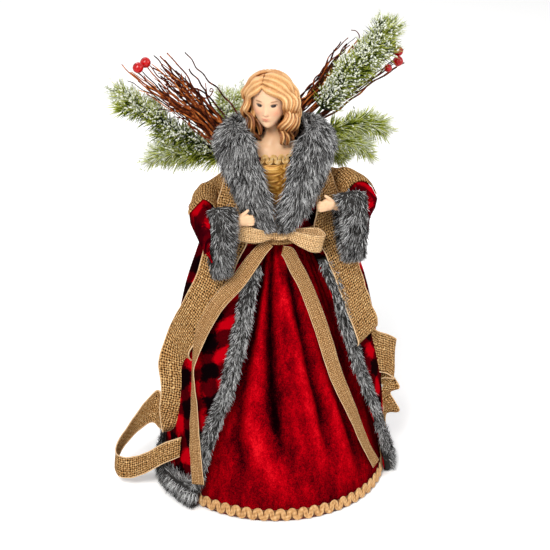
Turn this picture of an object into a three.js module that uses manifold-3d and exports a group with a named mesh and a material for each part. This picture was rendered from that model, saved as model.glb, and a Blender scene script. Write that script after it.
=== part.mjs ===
// Angel tree topper: velvet skirt over a card cone, fur edged coat, ribbons, and wings of twigs and pine.
// Millimetres, +Z up, the figure faces -Y. Azimuth 0 is the front, positive towards +X.
import * as THREE from "three";
import { mergeVertices } from "three/addons/utils/BufferGeometryUtils.js";
import Module from "manifold-3d";

const wasm = await Module();
wasm.setup();

// Main sizes of the figure
const waistHeight = 233;
const bustHeight = 76;
const hemRadius = 98;
const waistRadius = 22.2;
const shoulderReach = 33;
const floorGap = 0.6;
const clearance = 0.3;
const looseFit = 0.6;

// Card cone that stands on the tree tip
const coneWall = 1.6;
const coneTopRadius = 20.3;

// Cloth and ribbon thicknesses
const velvetThickness = 0.8;
const coatThickness = 0.8;
const bodiceThickness = 0.8;
const burlapThickness = 0.8;
const ribbonThickness = 0.7;

// Ribbon widths
const burlapWidth = 38;
const bowWidth = 15;
const beltHeight = 12;
const beltRiseHeight = 5.5;

// Knot of the bow
const knotSize = 11;
const knotDepth = 6;

// Braids
const hemBraidHeight = 10.5;
const hemBraidThickness = 1.9;
const hemScallopHeight = 1.7;
const hemScallops = 58;
const neckBraidHeight = 5.8;
const neckBraidThickness = 1.6;
const neckScallopHeight = 1.3;
const neckScallops = 12;

// Fur
const edgeFurPile = 5.5;
const edgeFurWidth = 13;
const hemFurPile = 5;
const hemFurHeight = 18;
const collarPile = 9;
const cuffPile = 6.5;
const cuffDepth = 23;

// Folds of the cloth
const skirtFoldDepth = 2.6;
const coatFoldDepth = 2.2;
const skirtFolds = 10;
const coatFolds = 9;

// Coat's room over the skirt and the torso
const coatEase = 38;

// Reach of the arms, wings, ribbons, head and collar, which their tables are shares of
const armSpan = 50;
const wingSpan = 100;
const ribbonReach = 100;
const headHeight = 43;
const collarReach = 50;

// Shoulders: half the width between the arms' roots, and the right arm's rise over the left
const shoulderOut = 47;
const rightArmLift = 4;

// Sleeves and the pegs that they swing on
const sleeveWall = 1.2;
const pegRadius = 2.5;

// Twigs, pine and berries
const twigRadius = 1;
const pineStemRadius = 1.5;
const bundleRadius = 5.2;
const needleLength = 15;
const berryRadius = 4.6;
const smallBerryRadius = 3.6;

// Wooden block at the back that the wing wires are bent on
const wingBlockWidth = 46;
const wingBlockHeight = 14;
const wingBlockDepth = 5;

const degrees = Math.PI / 180;
const fullTurn = 360;
const halfTurn = 180;
const roundSteps = 24;
const roundStep = fullTurn / roundSteps;
const up = new THREE.Vector3(0, 0, 1);
const goldenTurn = 137.5 * degrees;

// Height of a level: 0 is the floor, 1 the waist and 2 the neck edge of the coat.
function heightAt(level) {
  return level <= 1 ? level * waistHeight : waistHeight + (level - 1) * bustHeight;
}

function levelAt(height) {
  return height <= waistHeight ? height / waistHeight : 1 + (height - waistHeight) / bustHeight;
}

// Value of one column of a table at a place, straight between its rows.
function tableAt(rows, place, column = 1) {
  if (place <= rows[0][0]) return rows[0][column];
  for (let i = 1; i < rows.length; i += 1) {
    const [from, to] = [rows[i - 1], rows[i]];
    if (place <= to[0]) {
      const part = (place - from[0]) / (to[0] - from[0]);
      return from[column] + part * (to[column] - from[column]);
    }
  }
  return rows[rows.length - 1][column];
}

function polar(azimuth, radius, height) {
  const turn = azimuth * degrees;
  return new THREE.Vector3(radius * Math.sin(turn), -radius * Math.cos(turn), height);
}

// Closed mesh from points and triangles, turned to face outward
function closedMesh(points, triangles) {
  let volume = 0;
  for (const [a, b, c] of triangles) {
    volume += points[a].dot(new THREE.Vector3().crossVectors(points[b], points[c]));
  }
  const index = triangles.flatMap(([a, b, c]) => (volume < 0 ? [a, c, b] : [a, b, c]));
  const geometry = new THREE.BufferGeometry();
  geometry.setAttribute(
    "position",
    new THREE.Float32BufferAttribute(points.flatMap((p) => [p.x, p.y, p.z]), 3),
  );
  geometry.setIndex(index);
  return geometry;
}

// Body between two surfaces over the same grid. The first direction may run round and close.
function shellBetween(inner, outer, columns, rows, closes = false) {
  const points = [];
  const across = closes ? columns : columns + 1;
  for (const side of [inner, outer]) {
    for (let j = 0; j <= rows; j += 1) {
      for (let i = 0; i < across; i += 1) points.push(side(i / columns, j / rows, i, j));
    }
  }
  const at = (side, i, j) => side * across * (rows + 1) + j * across + (i % across);
  const triangles = [];
  const quad = (a, b, c, d) => triangles.push([a, b, c], [a, c, d]);
  for (let j = 0; j < rows; j += 1) {
    for (let i = 0; i < columns; i += 1) {
      quad(at(1, i, j), at(1, i + 1, j), at(1, i + 1, j + 1), at(1, i, j + 1));
      quad(at(0, i, j), at(0, i, j + 1), at(0, i + 1, j + 1), at(0, i + 1, j));
    }
  }
  for (let i = 0; i < columns; i += 1) {
    quad(at(0, i, 0), at(0, i + 1, 0), at(1, i + 1, 0), at(1, i, 0));
    quad(at(0, i + 1, rows), at(0, i, rows), at(1, i, rows), at(1, i + 1, rows));
  }
  if (!closes) {
    for (let j = 0; j < rows; j += 1) {
      quad(at(0, 0, j + 1), at(0, 0, j), at(1, 0, j), at(1, 0, j + 1));
      quad(at(0, columns, j), at(0, columns, j + 1), at(1, columns, j + 1), at(1, columns, j));
    }
  }
  return closedMesh(points, triangles);
}

// Sheet of even thickness round a middle surface, with its normals taken from the grid itself
function sheetOf(middle, columns, rows, thickness) {
  const grid = [];
  for (let j = 0; j <= rows; j += 1) {
    grid.push([]);
    for (let i = 0; i <= columns; i += 1) grid[j].push(middle(i / columns, j / rows));
  }
  const clampTo = (value, most) => Math.min(Math.max(value, 0), most);
  const normalAt = (i, j) => {
    const along = grid[j][clampTo(i + 1, columns)].clone().sub(grid[j][clampTo(i - 1, columns)]);
    const down = grid[clampTo(j + 1, rows)][i].clone().sub(grid[clampTo(j - 1, rows)][i]);
    return along.cross(down).normalize();
  };
  const side = (shift) => (u, v, i, j) => {
    const amount = typeof thickness === "function" ? thickness(u, v) : thickness;
    return grid[j][i].clone().addScaledVector(normalAt(i, j), shift * amount);
  };
  return shellBetween(side(-0.5), side(0.5), columns, rows);
}

// Pad that rises from a base surface to one side, thin at its edges
function padOf(base, columns, rows, pile, under = (point) => point) {
  const grid = [];
  for (let j = 0; j <= rows; j += 1) {
    grid.push([]);
    for (let i = 0; i <= columns; i += 1) grid[j].push(base(i / columns, j / rows));
  }
  const clampTo = (value, most) => Math.min(Math.max(value, 0), most);
  const normalAt = (i, j) => {
    const along = grid[j][clampTo(i + 1, columns)].clone().sub(grid[j][clampTo(i - 1, columns)]);
    const down = grid[clampTo(j + 1, rows)][i].clone().sub(grid[clampTo(j - 1, rows)][i]);
    return along.cross(down).normalize();
  };
  return shellBetween(
    (u, v, i, j) => under(grid[j][i].clone(), i, j),
    (u, v, i, j) => grid[j][i].clone().addScaledVector(normalAt(i, j), pile(u, v)),
    columns,
    rows,
  );
}

// Solid through a row of rings of the same count, with both ends capped
function loftOf(rings) {
  const sides = rings[0].length;
  const points = rings.flat();
  const triangles = [];
  for (let j = 0; j + 1 < rings.length; j += 1) {
    for (let i = 0; i < sides; i += 1) {
      const k = (i + 1) % sides;
      triangles.push([j * sides + i, j * sides + k, (j + 1) * sides + k]);
      triangles.push([j * sides + i, (j + 1) * sides + k, (j + 1) * sides + i]);
    }
  }
  for (const [ring, turned] of [[0, true], [rings.length - 1, false]]) {
    const centre = new THREE.Vector3();
    rings[ring].forEach((p) => centre.add(p));
    points.push(centre.divideScalar(sides));
    for (let i = 0; i < sides; i += 1) {
      const k = (i + 1) % sides;
      const [a, b] = [ring * sides + i, ring * sides + k];
      triangles.push(turned ? [points.length - 1, b, a] : [points.length - 1, a, b]);
    }
  }
  return closedMesh(points, triangles);
}

// Ring of points across a direction
function ringAt(centre, direction, radius, sides, other = radius, reference = up) {
  const across = new THREE.Vector3().crossVectors(reference, direction).normalize();
  const over = new THREE.Vector3().crossVectors(direction, across).normalize();
  return Array.from({ length: sides }, (_, i) => {
    const turn = (2 * Math.PI * i) / sides;
    return centre
      .clone()
      .addScaledVector(across, radius * Math.cos(turn))
      .addScaledVector(over, other * Math.sin(turn));
  });
}

// Round stick or strand through points, with a radius at each
function stickOf(points, radii, sides, reference = up) {
  const rings = points.map((point, i) => {
    const next = points[Math.min(i + 1, points.length - 1)];
    const last = points[Math.max(i - 1, 0)];
    const direction = next.clone().sub(last).normalize();
    return ringAt(point, direction, radii[i], sides, radii[i], reference);
  });
  return loftOf(rings);
}

// Solids to join and cut. Points nearer than the weld distance become one.
const weldDistance = clearance / 300;
function solidOf(geometry) {
  const bare = geometry.clone();
  bare.deleteAttribute("normal");
  bare.deleteAttribute("uv");
  const merged = mergeVertices(bare, weldDistance);
  return new wasm.Manifold(
    new wasm.Mesh({
      numProp: 3,
      vertProperties: merged.attributes.position.array,
      triVerts: new Uint32Array(merged.index.array),
    }),
  );
}

function geometryOf(solid) {
  const mesh = solid.getMesh();
  const geometry = new THREE.BufferGeometry();
  const positions = new Float32Array(mesh.numVert * 3);
  for (let i = 0; i < mesh.numVert; i += 1) {
    for (let k = 0; k < 3; k += 1) positions[3 * i + k] = mesh.vertProperties[i * mesh.numProp + k];
  }
  geometry.setAttribute("position", new THREE.BufferAttribute(positions, 3));
  geometry.setIndex(new THREE.BufferAttribute(new Uint32Array(mesh.triVerts), 1));
  return geometry;
}

function joined(geometries) {
  return geometryOf(geometries.map(solidOf).reduce((whole, next) => whole.add(next)));
}

// Smooth curve through places
function curveOf(points) {
  return new THREE.CatmullRomCurve3(points, false, "centripetal");
}

// Ribbon along stations, each with a middle, a direction across and a width share
function ribbonOf(stations, width, thickness, across, steps) {
  const middle = curveOf(stations.map((s) => s.middle));
  const wide = curveOf(stations.map((s) => s.across.clone().multiplyScalar(s.share).add(s.middle)));
  return sheetOf(
    (u, v) => {
      const centre = middle.getPoint(v);
      const reach = wide.getPoint(v).sub(centre);
      return centre.addScaledVector(reach, (u - 0.5) * width);
    },
    across,
    steps,
    thickness,
  );
}

// Repeatable spread of numbers between 0 and 1
function spreadFrom(seed) {
  let state = seed;
  return () => {
    state = (state * 16807) % 2147483647;
    return state / 2147483647;
  };
}

// Shapes of the skirt, the torso and the coat, as a radius at each azimuth and level
const skirtShares = [
  [0, 1],
  [0.215, 0.875],
  [0.43, 0.717],
  [0.644, 0.513],
  [0.858, 0.263],
  [0.966, 0.092],
  [1.066, 0],
];
const torsoShares = [
  [1, 0.64, 0.64],
  [1.09, 0.64, 0.635],
  [1.38, 0.73, 0.66],
  [1.68, 0.94, 0.76],
  [1.855, 1, 0.7],
  [1.96, 0.85, 0.6],
  [2.04, 0.67, 0.455],
  [2.12, 0.4, 0.34],
  [2.2, 0.235, 0.24],
  [2.34, 0.21, 0.225],
];
const coatShares = [
  [0.004, 0.092, 0.092, 0.092],
  [0.12, 0.19, 0.12, 0.17],
  [0.3, 0.35, 0.2, 0.25],
  [0.5, 0.56, 0.28, 0.36],
  [0.68, 0.76, 0.35, 0.46],
  [0.84, 0.9, 0.42, 0.5],
  [0.955, 0.957, 0.449, 0.543],
  [1, 0.98, 0.46, 0.56],
  [1.1, 0.98, 0.5, 0.54],
  [1.38, 0.68, 0.48, 0.42],
  [1.68, 0.34, 0.36, 0.2],
  [1.855, 0.25, 0.25, 0.13],
  [1.96, 0.14, 0.17, 0.1],
  [2, 0.1, 0.13, 0.09],
];
const leftEdgeAzimuths = [
  [0, -56],
  [0.23, -49],
  [0.36, -44],
  [0.5, -37],
  [0.69, -32],
  [0.83, -29],
  [1, -25],
  [1.2, -18],
  [1.6, -24],
  [2, -42],
];
const rightEdgeAzimuths = [
  [0, 69],
  [0.18, 60],
  [0.37, 50],
  [0.515, 42],
  [0.64, 38],
  [0.88, 36],
  [1, 30],
  [1.2, 6],
  [1.6, 2],
  [2, 18],
];

function swell(level, low, high) {
  const part = (level - low) / (high - low);
  return part <= 0 || part >= 1 ? 0 : Math.sin(Math.PI * part);
}

function skirtRadius(azimuth, level) {
  const base = waistRadius + tableAt(skirtShares, level) * (hemRadius - waistRadius);
  const turn = azimuth * degrees;
  const wave = 0.75 * Math.cos(skirtFolds * turn) + 0.25 * Math.cos(7 * turn + 1);
  return base + skirtFoldDepth * swell(level, 0.05, 1) * wave;
}

function torsoRadius(azimuth, level) {
  const turn = azimuth * degrees;
  const side = Math.sin(turn) / (tableAt(torsoShares, level, 1) * shoulderReach);
  const depth = Math.cos(turn) / (tableAt(torsoShares, level, 2) * shoulderReach);
  return 1 / Math.hypot(side, depth);
}

function coatRadius(azimuth, level) {
  const turn = azimuth * degrees;
  const skirt = waistRadius + tableAt(skirtShares, Math.min(level, 1)) * (hemRadius - waistRadius);
  const rise = Math.min(1, Math.max(0, (level - 1) / 0.1));
  const base = level < 1 ? skirt : torsoRadius(azimuth, Math.max(level, 1.1)) * rise + skirt * (1 - rise);
  const ends = Math.cos(turn) > 0 ? tableAt(coatShares, level, 2) : tableAt(coatShares, level, 3);
  const ease = ends + (tableAt(coatShares, level, 1) - ends) * Math.sin(turn) ** 4;
  const away = Math.min(1, Math.max(0, (Math.abs(azimuth) - 75) / 25));
  const fold = coatFoldDepth * away * swell(level, 0.1, 1) * Math.cos(coatFolds * turn);
  return base + ease * coatEase + fold;
}

// Place on the coat: along runs from its left front edge round the back to its right front edge.
function coatAzimuth(along, level) {
  const left = tableAt(leftEdgeAzimuths, level);
  const right = tableAt(rightEdgeAzimuths, level) - fullTurn;
  return left + along * (right - left);
}

function wrapped(azimuth) {
  return azimuth < -halfTurn ? azimuth + fullTurn : azimuth;
}

function onCoat(azimuth, level, offset) {
  return polar(azimuth, coatRadius(wrapped(azimuth), level) + offset, heightAt(level));
}

// Pieces
const angel = new THREE.Group();
angel.name = "angel_tree_topper";

function addPiece(name, geometry, color, roughness, metalness = 0) {
  const material = new THREE.MeshStandardMaterial({ color, roughness, metalness });
  const mesh = new THREE.Mesh(geometry, material);
  mesh.name = name;
  angel.add(mesh);
}

// Card cone with a closed top, open below for the tree tip
const coneBottomRadius = hemRadius - velvetThickness / 2 - clearance;
const coneTop = waistHeight - clearance;
const coneProfile = [
  [coneBottomRadius - coneWall, 0],
  [coneBottomRadius, 0],
  [coneTopRadius, coneTop],
  [0, coneTop],
  [0, coneTop - coneWall],
  [coneTopRadius - coneWall, coneTop - coneWall],
  [coneBottomRadius - coneWall, 0],
].map(([r, z]) => new THREE.Vector2(r, z));
const cone = new THREE.LatheGeometry(coneProfile, 60).rotateX(Math.PI / 2);
addPiece("base_cone", geometryOf(solidOf(cone)), 0xc9b79c, 0.9);

// Padded torso
const torsoTopLevel = 1.855;
const torsoRows = [1, 1.09, 1.38, 1.68, torsoTopLevel];
const torsoRings = torsoRows.map((level) =>
  Array.from({ length: roundSteps }, (_, i) =>
    polar(i * roundStep, torsoRadius(i * roundStep, level), heightAt(level)),
  ),
);
addPiece("torso_form", loftOf(torsoRings), 0xe6dccb, 0.95);

// Head, neck and breastplate in one casting
const bustLevels = [1.86, 1.91, 1.96, 2.04, 2.12, 2.2, 2.34, 2.42];
const bustRings = bustLevels.map((level) =>
  Array.from({ length: roundSteps }, (_, i) => {
    const azimuth = i * roundStep;
    const lean = Math.max(0, level - 2.1) * headHeight;
    return polar(azimuth, torsoRadius(azimuth, level), heightAt(level) + clearance).add(
      new THREE.Vector3(-0.25 * lean, -0.2 * lean, 0),
    );
  }),
);
const headPlace = new THREE.Vector3(-0.16, -0.2, 0).multiplyScalar(headHeight);
headPlace.z = heightAt(2.2) + 0.76 * headHeight;
const headTurn = new THREE.Euler(9 * degrees, 0, -22 * degrees, "ZXY");

// Lump on the head, in shares of its height, in the head's own frame with the face to -Y
function lump(x, y, z, wide, deep, tall, around = 16, rows = 10) {
  const ball = new THREE.SphereGeometry(1, around, rows).rotateX(Math.PI / 2);
  ball.scale(wide * headHeight, deep * headHeight, tall * headHeight);
  ball.translate(x * headHeight, y * headHeight, z * headHeight);
  return placed(ball);
}

function placed(geometry) {
  const turn = new THREE.Matrix4().makeRotationFromEuler(headTurn).setPosition(headPlace);
  return geometry.applyMatrix4(turn);
}

// Face: an egg that narrows to the chin, with the eye hollows, nose, mouth and chin drawn on it
function facePoint(across, upward) {
  const turn = across * 2 * Math.PI;
  const tilt = (upward - 0.5) * Math.PI;
  const [x, y, z] = [Math.sin(turn) * Math.cos(tilt), -Math.cos(turn) * Math.cos(tilt), Math.sin(tilt)];
  const jaw = z < 0 ? 1 - 0.34 * z * z : 1;
  const place = new THREE.Vector3(0.33 * x * jaw, 0.37 * y * (z < 0 ? 1 - 0.12 * z * z : 1), 0.46 * z);
  if (y < 0) {
    const bump = (bx, bz, wx, wz, high) =>
      high * Math.exp(-(((place.x - bx) / wx) ** 2) - ((place.z - bz) / wz) ** 2);
    let push = bump(0, -0.1, 0.04, 0.09, 0.055) + bump(0, -0.15, 0.055, 0.04, 0.05);
    push += bump(-0.12, 0, 0.07, 0.05, -0.045) + bump(0.12, 0, 0.07, 0.05, -0.045);
    push += bump(0, -0.245, 0.09, 0.035, 0.03) + bump(0, -0.37, 0.1, 0.07, 0.045);
    place.y -= push;
  }
  return place.multiplyScalar(headHeight);
}
const faceRings = Array.from({ length: 13 }, (_, j) =>
  Array.from({ length: 18 }, (_, i) => facePoint(i / 18, (j + 0.5) / 13)),
);
const face = placed(loftOf(faceRings));

// Hair: a waved cap parted near the middle, and locks down each side
const hairShares = [
  [-0.38, -0.16, 0.16, -0.46, -0.12, -0.24, -0.34, -0.12, -0.56],
  [-0.42, 0.02, 0.1, -0.5, 0.04, -0.3, -0.33, 0.04, -0.58],
  [-0.28, 0.24, 0.0, -0.34, 0.28, -0.36, -0.26, 0.2, -0.62],
  [0.0, 0.3, 0.0, 0.0, 0.34, -0.36, 0.02, 0.26, -0.62],
  [0.28, 0.24, 0.0, 0.36, 0.28, -0.36, 0.32, 0.2, -0.64],
  [0.42, 0.04, 0.1, 0.54, 0.04, -0.3, 0.5, 0.0, -0.66],
  [0.38, -0.14, 0.16, 0.5, -0.14, -0.22, 0.46, -0.18, -0.66],
];
const cap = [
  lump(0, 0.08, 0.12, 0.46, 0.42, 0.45, 14, 8),
  lump(-0.3, -0.06, 0.2, 0.18, 0.24, 0.25, 8, 6),
  lump(0.29, -0.06, 0.2, 0.19, 0.24, 0.25, 8, 6),
  lump(-0.46, -0.04, -0.38, 0.09, 0.15, 0.15, 8, 6),
];
const brow = lump(0, -0.56, -0.02, 0.34, 0.46, 0.52, 12, 8);
const locks = hairShares.map((row) => {
  const path = curveOf([0, 3, 6].map((k) => new THREE.Vector3(row[k], row[k + 1], row[k + 2])));
  const points = Array.from({ length: 6 }, (_, i) => {
    const place = path.getPoint(i / 5);
    place.x += 0.03 * Math.sin(i * 1.7 + row[0] * 21);
    place.y += 0.03 * Math.cos(i * 1.7);
    return place.multiplyScalar(headHeight);
  });
  const radii = points.map((_, i) => headHeight * (0.16 - 0.006 * i + 0.015 * Math.cos(i * 3)));
  return placed(stickOf(points, radii, 5));
});
const hairSolid = [...cap, ...locks].map(solidOf).reduce((whole, next) => whole.add(next));
const nape = lump(0, 0.07, -0.24, 0.51, 0.3, 0.45, 12, 8);
const headSolid = hairSolid
  .subtract(solidOf(brow))
  .add(solidOf(nape))
  .add(solidOf(face))
  .add(solidOf(loftOf(bustRings)));
addPiece("head_and_bust", geometryOf(headSolid), 0xf0c9a0, 0.55);

// Brocade bodice round the torso and the lower breastplate
const bodiceRows = [1.1, 1.38, 1.68, torsoTopLevel, 1.96];
const bodiceSide = (offset) => (u, v, i, j) =>
  polar(u * fullTurn, torsoRadius(u * fullTurn, bodiceRows[j]) + offset, heightAt(bodiceRows[j]));
const bodiceInner = looseFit;
const bodiceOuter = bodiceInner + bodiceThickness;
addPiece(
  "gold_bodice",
  shellBetween(bodiceSide(bodiceInner), bodiceSide(bodiceOuter), roundSteps, bodiceRows.length - 1, true),
  0xb17b33,
  0.5,
  0.2,
);

// Scalloped braid round the neckline, over the bodice's front edge
const neckBraidTop = 1.96;
const neckBraidSide = (offset) => (u, v) => {
  const azimuth = -74 + u * 124;
  const scallop = neckScallopHeight * Math.abs(Math.cos(neckScallops * Math.PI * u)) * (1 - 2 * v);
  const height = heightAt(neckBraidTop) - neckBraidHeight * v + scallop;
  const level = Math.min(levelAt(height), neckBraidTop);
  return polar(azimuth, torsoRadius(azimuth, level) + offset, height);
};
const neckBraidInner = bodiceOuter + clearance;
addPiece(
  "neckline_braid",
  shellBetween(
    neckBraidSide(neckBraidInner),
    neckBraidSide(neckBraidInner + neckBraidThickness),
    neckScallops * 3,
    1,
  ),
  0xe8c08a,
  0.7,
);

// Velvet skirt
const skirtRows = [floorGap / waistHeight, 0.12, 0.28, 0.46, 0.64, 0.84, 1.066];
const skirtSide = (offset) => (u, v, i, j) =>
  polar(u * fullTurn, skirtRadius(u * fullTurn, skirtRows[j]) + offset, heightAt(skirtRows[j]));
addPiece(
  "skirt",
  shellBetween(
    skirtSide(-velvetThickness / 2),
    skirtSide(velvetThickness / 2),
    60,
    skirtRows.length - 1,
    true,
  ),
  0xa0060c,
  0.85,
);

// Scalloped braid round the hem
const hemBraidSide = (offset) => (u, v) => {
  const scallop = hemScallopHeight * Math.abs(Math.cos(hemScallops * Math.PI * u)) * v;
  const height = floorGap + hemBraidHeight * v + scallop;
  const azimuth = u * fullTurn;
  return polar(azimuth, skirtRadius(azimuth, levelAt(height)) + velvetThickness / 2 + offset, height);
};
addPiece(
  "hem_braid",
  shellBetween(
    hemBraidSide(clearance),
    hemBraidSide(clearance + hemBraidThickness),
    hemScallops * 2,
    1,
    true,
  ),
  0xcb9f75,
  0.8,
);

// Check coat, open in front
const coatRows = coatShares.map((row) => row[0]);
const coatColumns = 36;
const coatSide = (offset) => (u, v, i, j) =>
  onCoat(coatAzimuth(u, coatRows[j]), coatRows[j], offset);
addPiece(
  "coat",
  shellBetween(
    coatSide(-coatThickness / 2),
    coatSide(coatThickness / 2),
    coatColumns,
    coatRows.length - 1,
  ),
  0x7a0a10,
  0.9,
);

// Fur band round the coat's hem
const roundShares = [0.4, 1, 1, 0.4];
const furHemRows = [0, 0.3, 0.7, 1].map((share) => levelAt(floorGap + share * hemFurHeight));
const furBase = coatThickness / 2 + clearance;
addPiece(
  "fur_hem",
  shellBetween(
    (u, v, i, j) => onCoat(coatAzimuth(u, furHemRows[j]), furHemRows[j], furBase),
    (u, v, i, j) =>
      onCoat(coatAzimuth(u, furHemRows[j]), furHemRows[j], furBase + roundShares[j] * hemFurPile),
    coatColumns,
    3,
  ),
  0x5c5853,
  1,
);

// Fur strip down each front edge of the coat, from the waist to the fur hem
const edgeFurTop = 0.955;
const edgeFurBottom = levelAt(floorGap + hemFurHeight + looseFit);
const edgeRows = [edgeFurBottom, ...coatRows.filter((r) => r > edgeFurBottom && r < edgeFurTop), edgeFurTop];
const edgeProfileShares = [0.15, 0.8, 1, 0.8, 0.15];
function edgeFur(fromLeft) {
  const place = (offset) => (u, v, i, j) => {
    const level = edgeRows[j];
    const round = coatAzimuth(1, level) - coatAzimuth(0, level);
    const radius = coatRadius(wrapped(coatAzimuth(fromLeft ? 0 : 1, level)), level);
    const width = edgeFurWidth / (Math.abs(round) * degrees * radius);
    const along = fromLeft ? u * width : 1 - u * width;
    return onCoat(coatAzimuth(along, level), level, offset(i));
  };
  const base = () => coatThickness / 2 + looseFit;
  return shellBetween(
    place(base),
    place((i) => base() + edgeProfileShares[i] * edgeFurPile),
    4,
    edgeRows.length - 1,
  );
}
addPiece("fur_edge_left", edgeFur(true), 0x5c5853, 1);
addPiece("fur_edge_right", edgeFur(false), 0x5c5853, 1);

// Fur collar: two lapels from the waist round to the back of the neck. Each row gives the azimuth,
// radius and level of the inner edge, then of the outer edge, with radii in shares of the collar's reach.
const collarYaw = -12;
const collarShares = [
  [2, 0.97, 1.245, 13, 0.98, 1.243],
  [2, 0.99, 1.34, 19, 1.0, 1.31],
  [5, 0.98, 1.585, 33, 1.02, 1.487],
  [10, 0.9, 1.783, 46, 1.0, 1.664],
  [18, 0.78, 1.993, 65, 1.0, 1.863],
  [27, 0.68, 2.158, 85, 1.03, 2.04],
  [48, 0.57, 2.28, 100, 1.0, 2.12],
  [85, 0.57, 2.3, 120, 0.9, 2.13],
  [130, 0.56, 2.24, 148, 0.84, 2.1],
  [178, 0.54, 2.2, 178, 0.8, 2.06],
];
const collarSeatShares = [0, 0, 1, 1, 0, 0];
function collarPad(side) {
  const place = (row, k) =>
    polar(collarYaw + side * row[k], row[k + 1] * collarReach, heightAt(row[k + 2]));
  const inner = curveOf(collarShares.map((row) => place(row, 0)));
  const outer = curveOf(collarShares.map((row) => place(row, 3)));
  const seat = (point, i, j) => {
    const azimuth = Math.atan2(point.x, -point.y) / degrees;
    const seatRadius = coatRadius(azimuth, levelAt(point.z)) + coatThickness / 2 + looseFit + clearance;
    const drop = Math.hypot(point.x, point.y) - seatRadius;
    const share = j > 1 && j < 6 ? collarSeatShares[i] : 0;
    return point.addScaledVector(polar(azimuth, -1, 0), share * drop);
  };
  return padOf(
    (u, v) => inner.getPoint(v).lerp(outer.getPoint(v), u),
    5,
    14,
    (u) => side * collarPile * (0.3 + 0.7 * Math.sin(Math.PI * u) ** 0.6),
    seat,
  );
}
addPiece("fur_collar_left", collarPad(-1), 0x5c5853, 1);
addPiece("fur_collar_right", collarPad(1), 0x5c5853, 1);

// Ribbon round the waist, outside the coat
const beltLow = levelAt(waistHeight + beltRiseHeight);
const beltHigh = levelAt(heightAt(beltLow) + beltHeight);
const beltRows = [beltLow, coatRows[8], beltHigh];
const beltBase = coatThickness / 2 + looseFit;
const beltSide = (offset) => (u, v, i, j) => onCoat(u * fullTurn - halfTurn, beltRows[j], offset);
addPiece(
  "waist_ribbon",
  shellBetween(beltSide(beltBase), beltSide(beltBase + ribbonThickness), 36, 2, true),
  0xcc9f70,
  0.9,
);

// Bow in front of the belt, turned a little to the left of the figure's front
const bowAzimuth = -8;
const knotWidthShare = 0.72;
const bowHeight = heightAt((beltLow + beltHigh) / 2);
const bowRadius = coatRadius(bowAzimuth, levelAt(bowHeight)) + beltBase + ribbonThickness + clearance;
const bowOut = polar(bowAzimuth, 1, 0);
const bowSide = polar(bowAzimuth + 90, 1, 0);

// Place near the bow: aside, out from the belt and up, in shares of the ribbon's reach
function byBow(aside, out, rise) {
  return new THREE.Vector3(0, 0, bowHeight + rise * ribbonReach)
    .addScaledVector(bowOut, bowRadius + out * ribbonReach)
    .addScaledVector(bowSide, aside * ribbonReach);
}
const knot = new THREE.SphereGeometry(1, 12, 8);
knot.scale(knotSize * knotWidthShare, knotDepth / 2, knotSize / 2);
const knotTurn = new THREE.Matrix4().makeRotationZ(bowAzimuth * degrees);
knotTurn.setPosition(byBow(0, 0, 0).addScaledVector(bowOut, knotDepth / 2 + clearance));
addPiece("bow_knot", knot.applyMatrix4(knotTurn), 0xcc9f70, 0.9);

// Loops: each runs out from the knot, turns back and ends behind itself. Rows are aside, out and up.
const leftLoopShares = [
  [-0.09, 0.06, 0.0],
  [-0.2, 0.09, 0.01],
  [-0.33, 0.07, 0.03],
  [-0.375, 0.05, 0.03],
  [-0.34, 0.032, 0.025],
  [-0.2, 0.042, 0.0],
  [-0.083, 0.034, -0.005],
];
const rightLoopShares = [
  [0.09, 0.06, 0.0],
  [0.2, 0.075, -0.02],
  [0.33, 0.055, -0.055],
  [0.375, 0.033, -0.06],
  [0.34, 0.014, -0.055],
  [0.2, 0.028, -0.03],
  [0.083, 0.034, -0.01],
];
function bowLoop(shares, tilt) {
  const stations = shares.map(([aside, out, rise], i) => ({
    middle: byBow(aside, out, rise),
    across: new THREE.Vector3(tilt, 0, 1).normalize(),
    share: i === 0 || i === shares.length - 1 ? 0.6 : 1,
  }));
  return ribbonOf(stations, bowWidth, ribbonThickness, 1, 18);
}
addPiece("bow_loop_left", bowLoop(leftLoopShares, 0.05), 0xcc9f70, 0.9);
addPiece("bow_loop_right", bowLoop(rightLoopShares, 0.22), 0xcc9f70, 0.9);

// Tails that fall from the knot over the coat and the skirt. Rows are azimuth, level, offset from the
// cloth as a share of the ribbon's reach, share of the width, and the turn of the ribbon out of flat.
const leftTailShares = [
  [-19, 1.1, 0.03, 0.6, 0],
  [-27, 1.03, 0.035, 0.8, 0],
  [-34, 0.97, 0.075, 0.95, 0],
  [-41, 0.91, 0.1, 1, 0],
  [-52, 0.82, 0.105, 1, 0],
  [-59, 0.7, 0.095, 1, 10],
  [-60.5, 0.62, 0.095, 0.8, 30],
  [-62, 0.55, 0.07, 0.6, 40],
  [-60, 0.43, 0.05, 0.8, 20],
  [-56, 0.28, 0.075, 0.9, 0],
  [-52, 0.12, 0.085, 0.9, -10],
];
const rightTailShares = [
  [-5, 1.02, 0.196, 0.6, 0],
  [1, 0.995, 0.17, 0.85, 0],
  [9, 0.94, 0.12, 1, 0],
  [19, 0.86, 0.085, 1, 0],
  [27, 0.7, 0.06, 1, 0],
  [31, 0.52, 0.05, 1, 0],
  [38, 0.36, 0.05, 1, 0],
  [46, 0.2, 0.055, 0.9, 0],
  [53, 0.1, 0.06, 0.7, 20],
];
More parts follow.
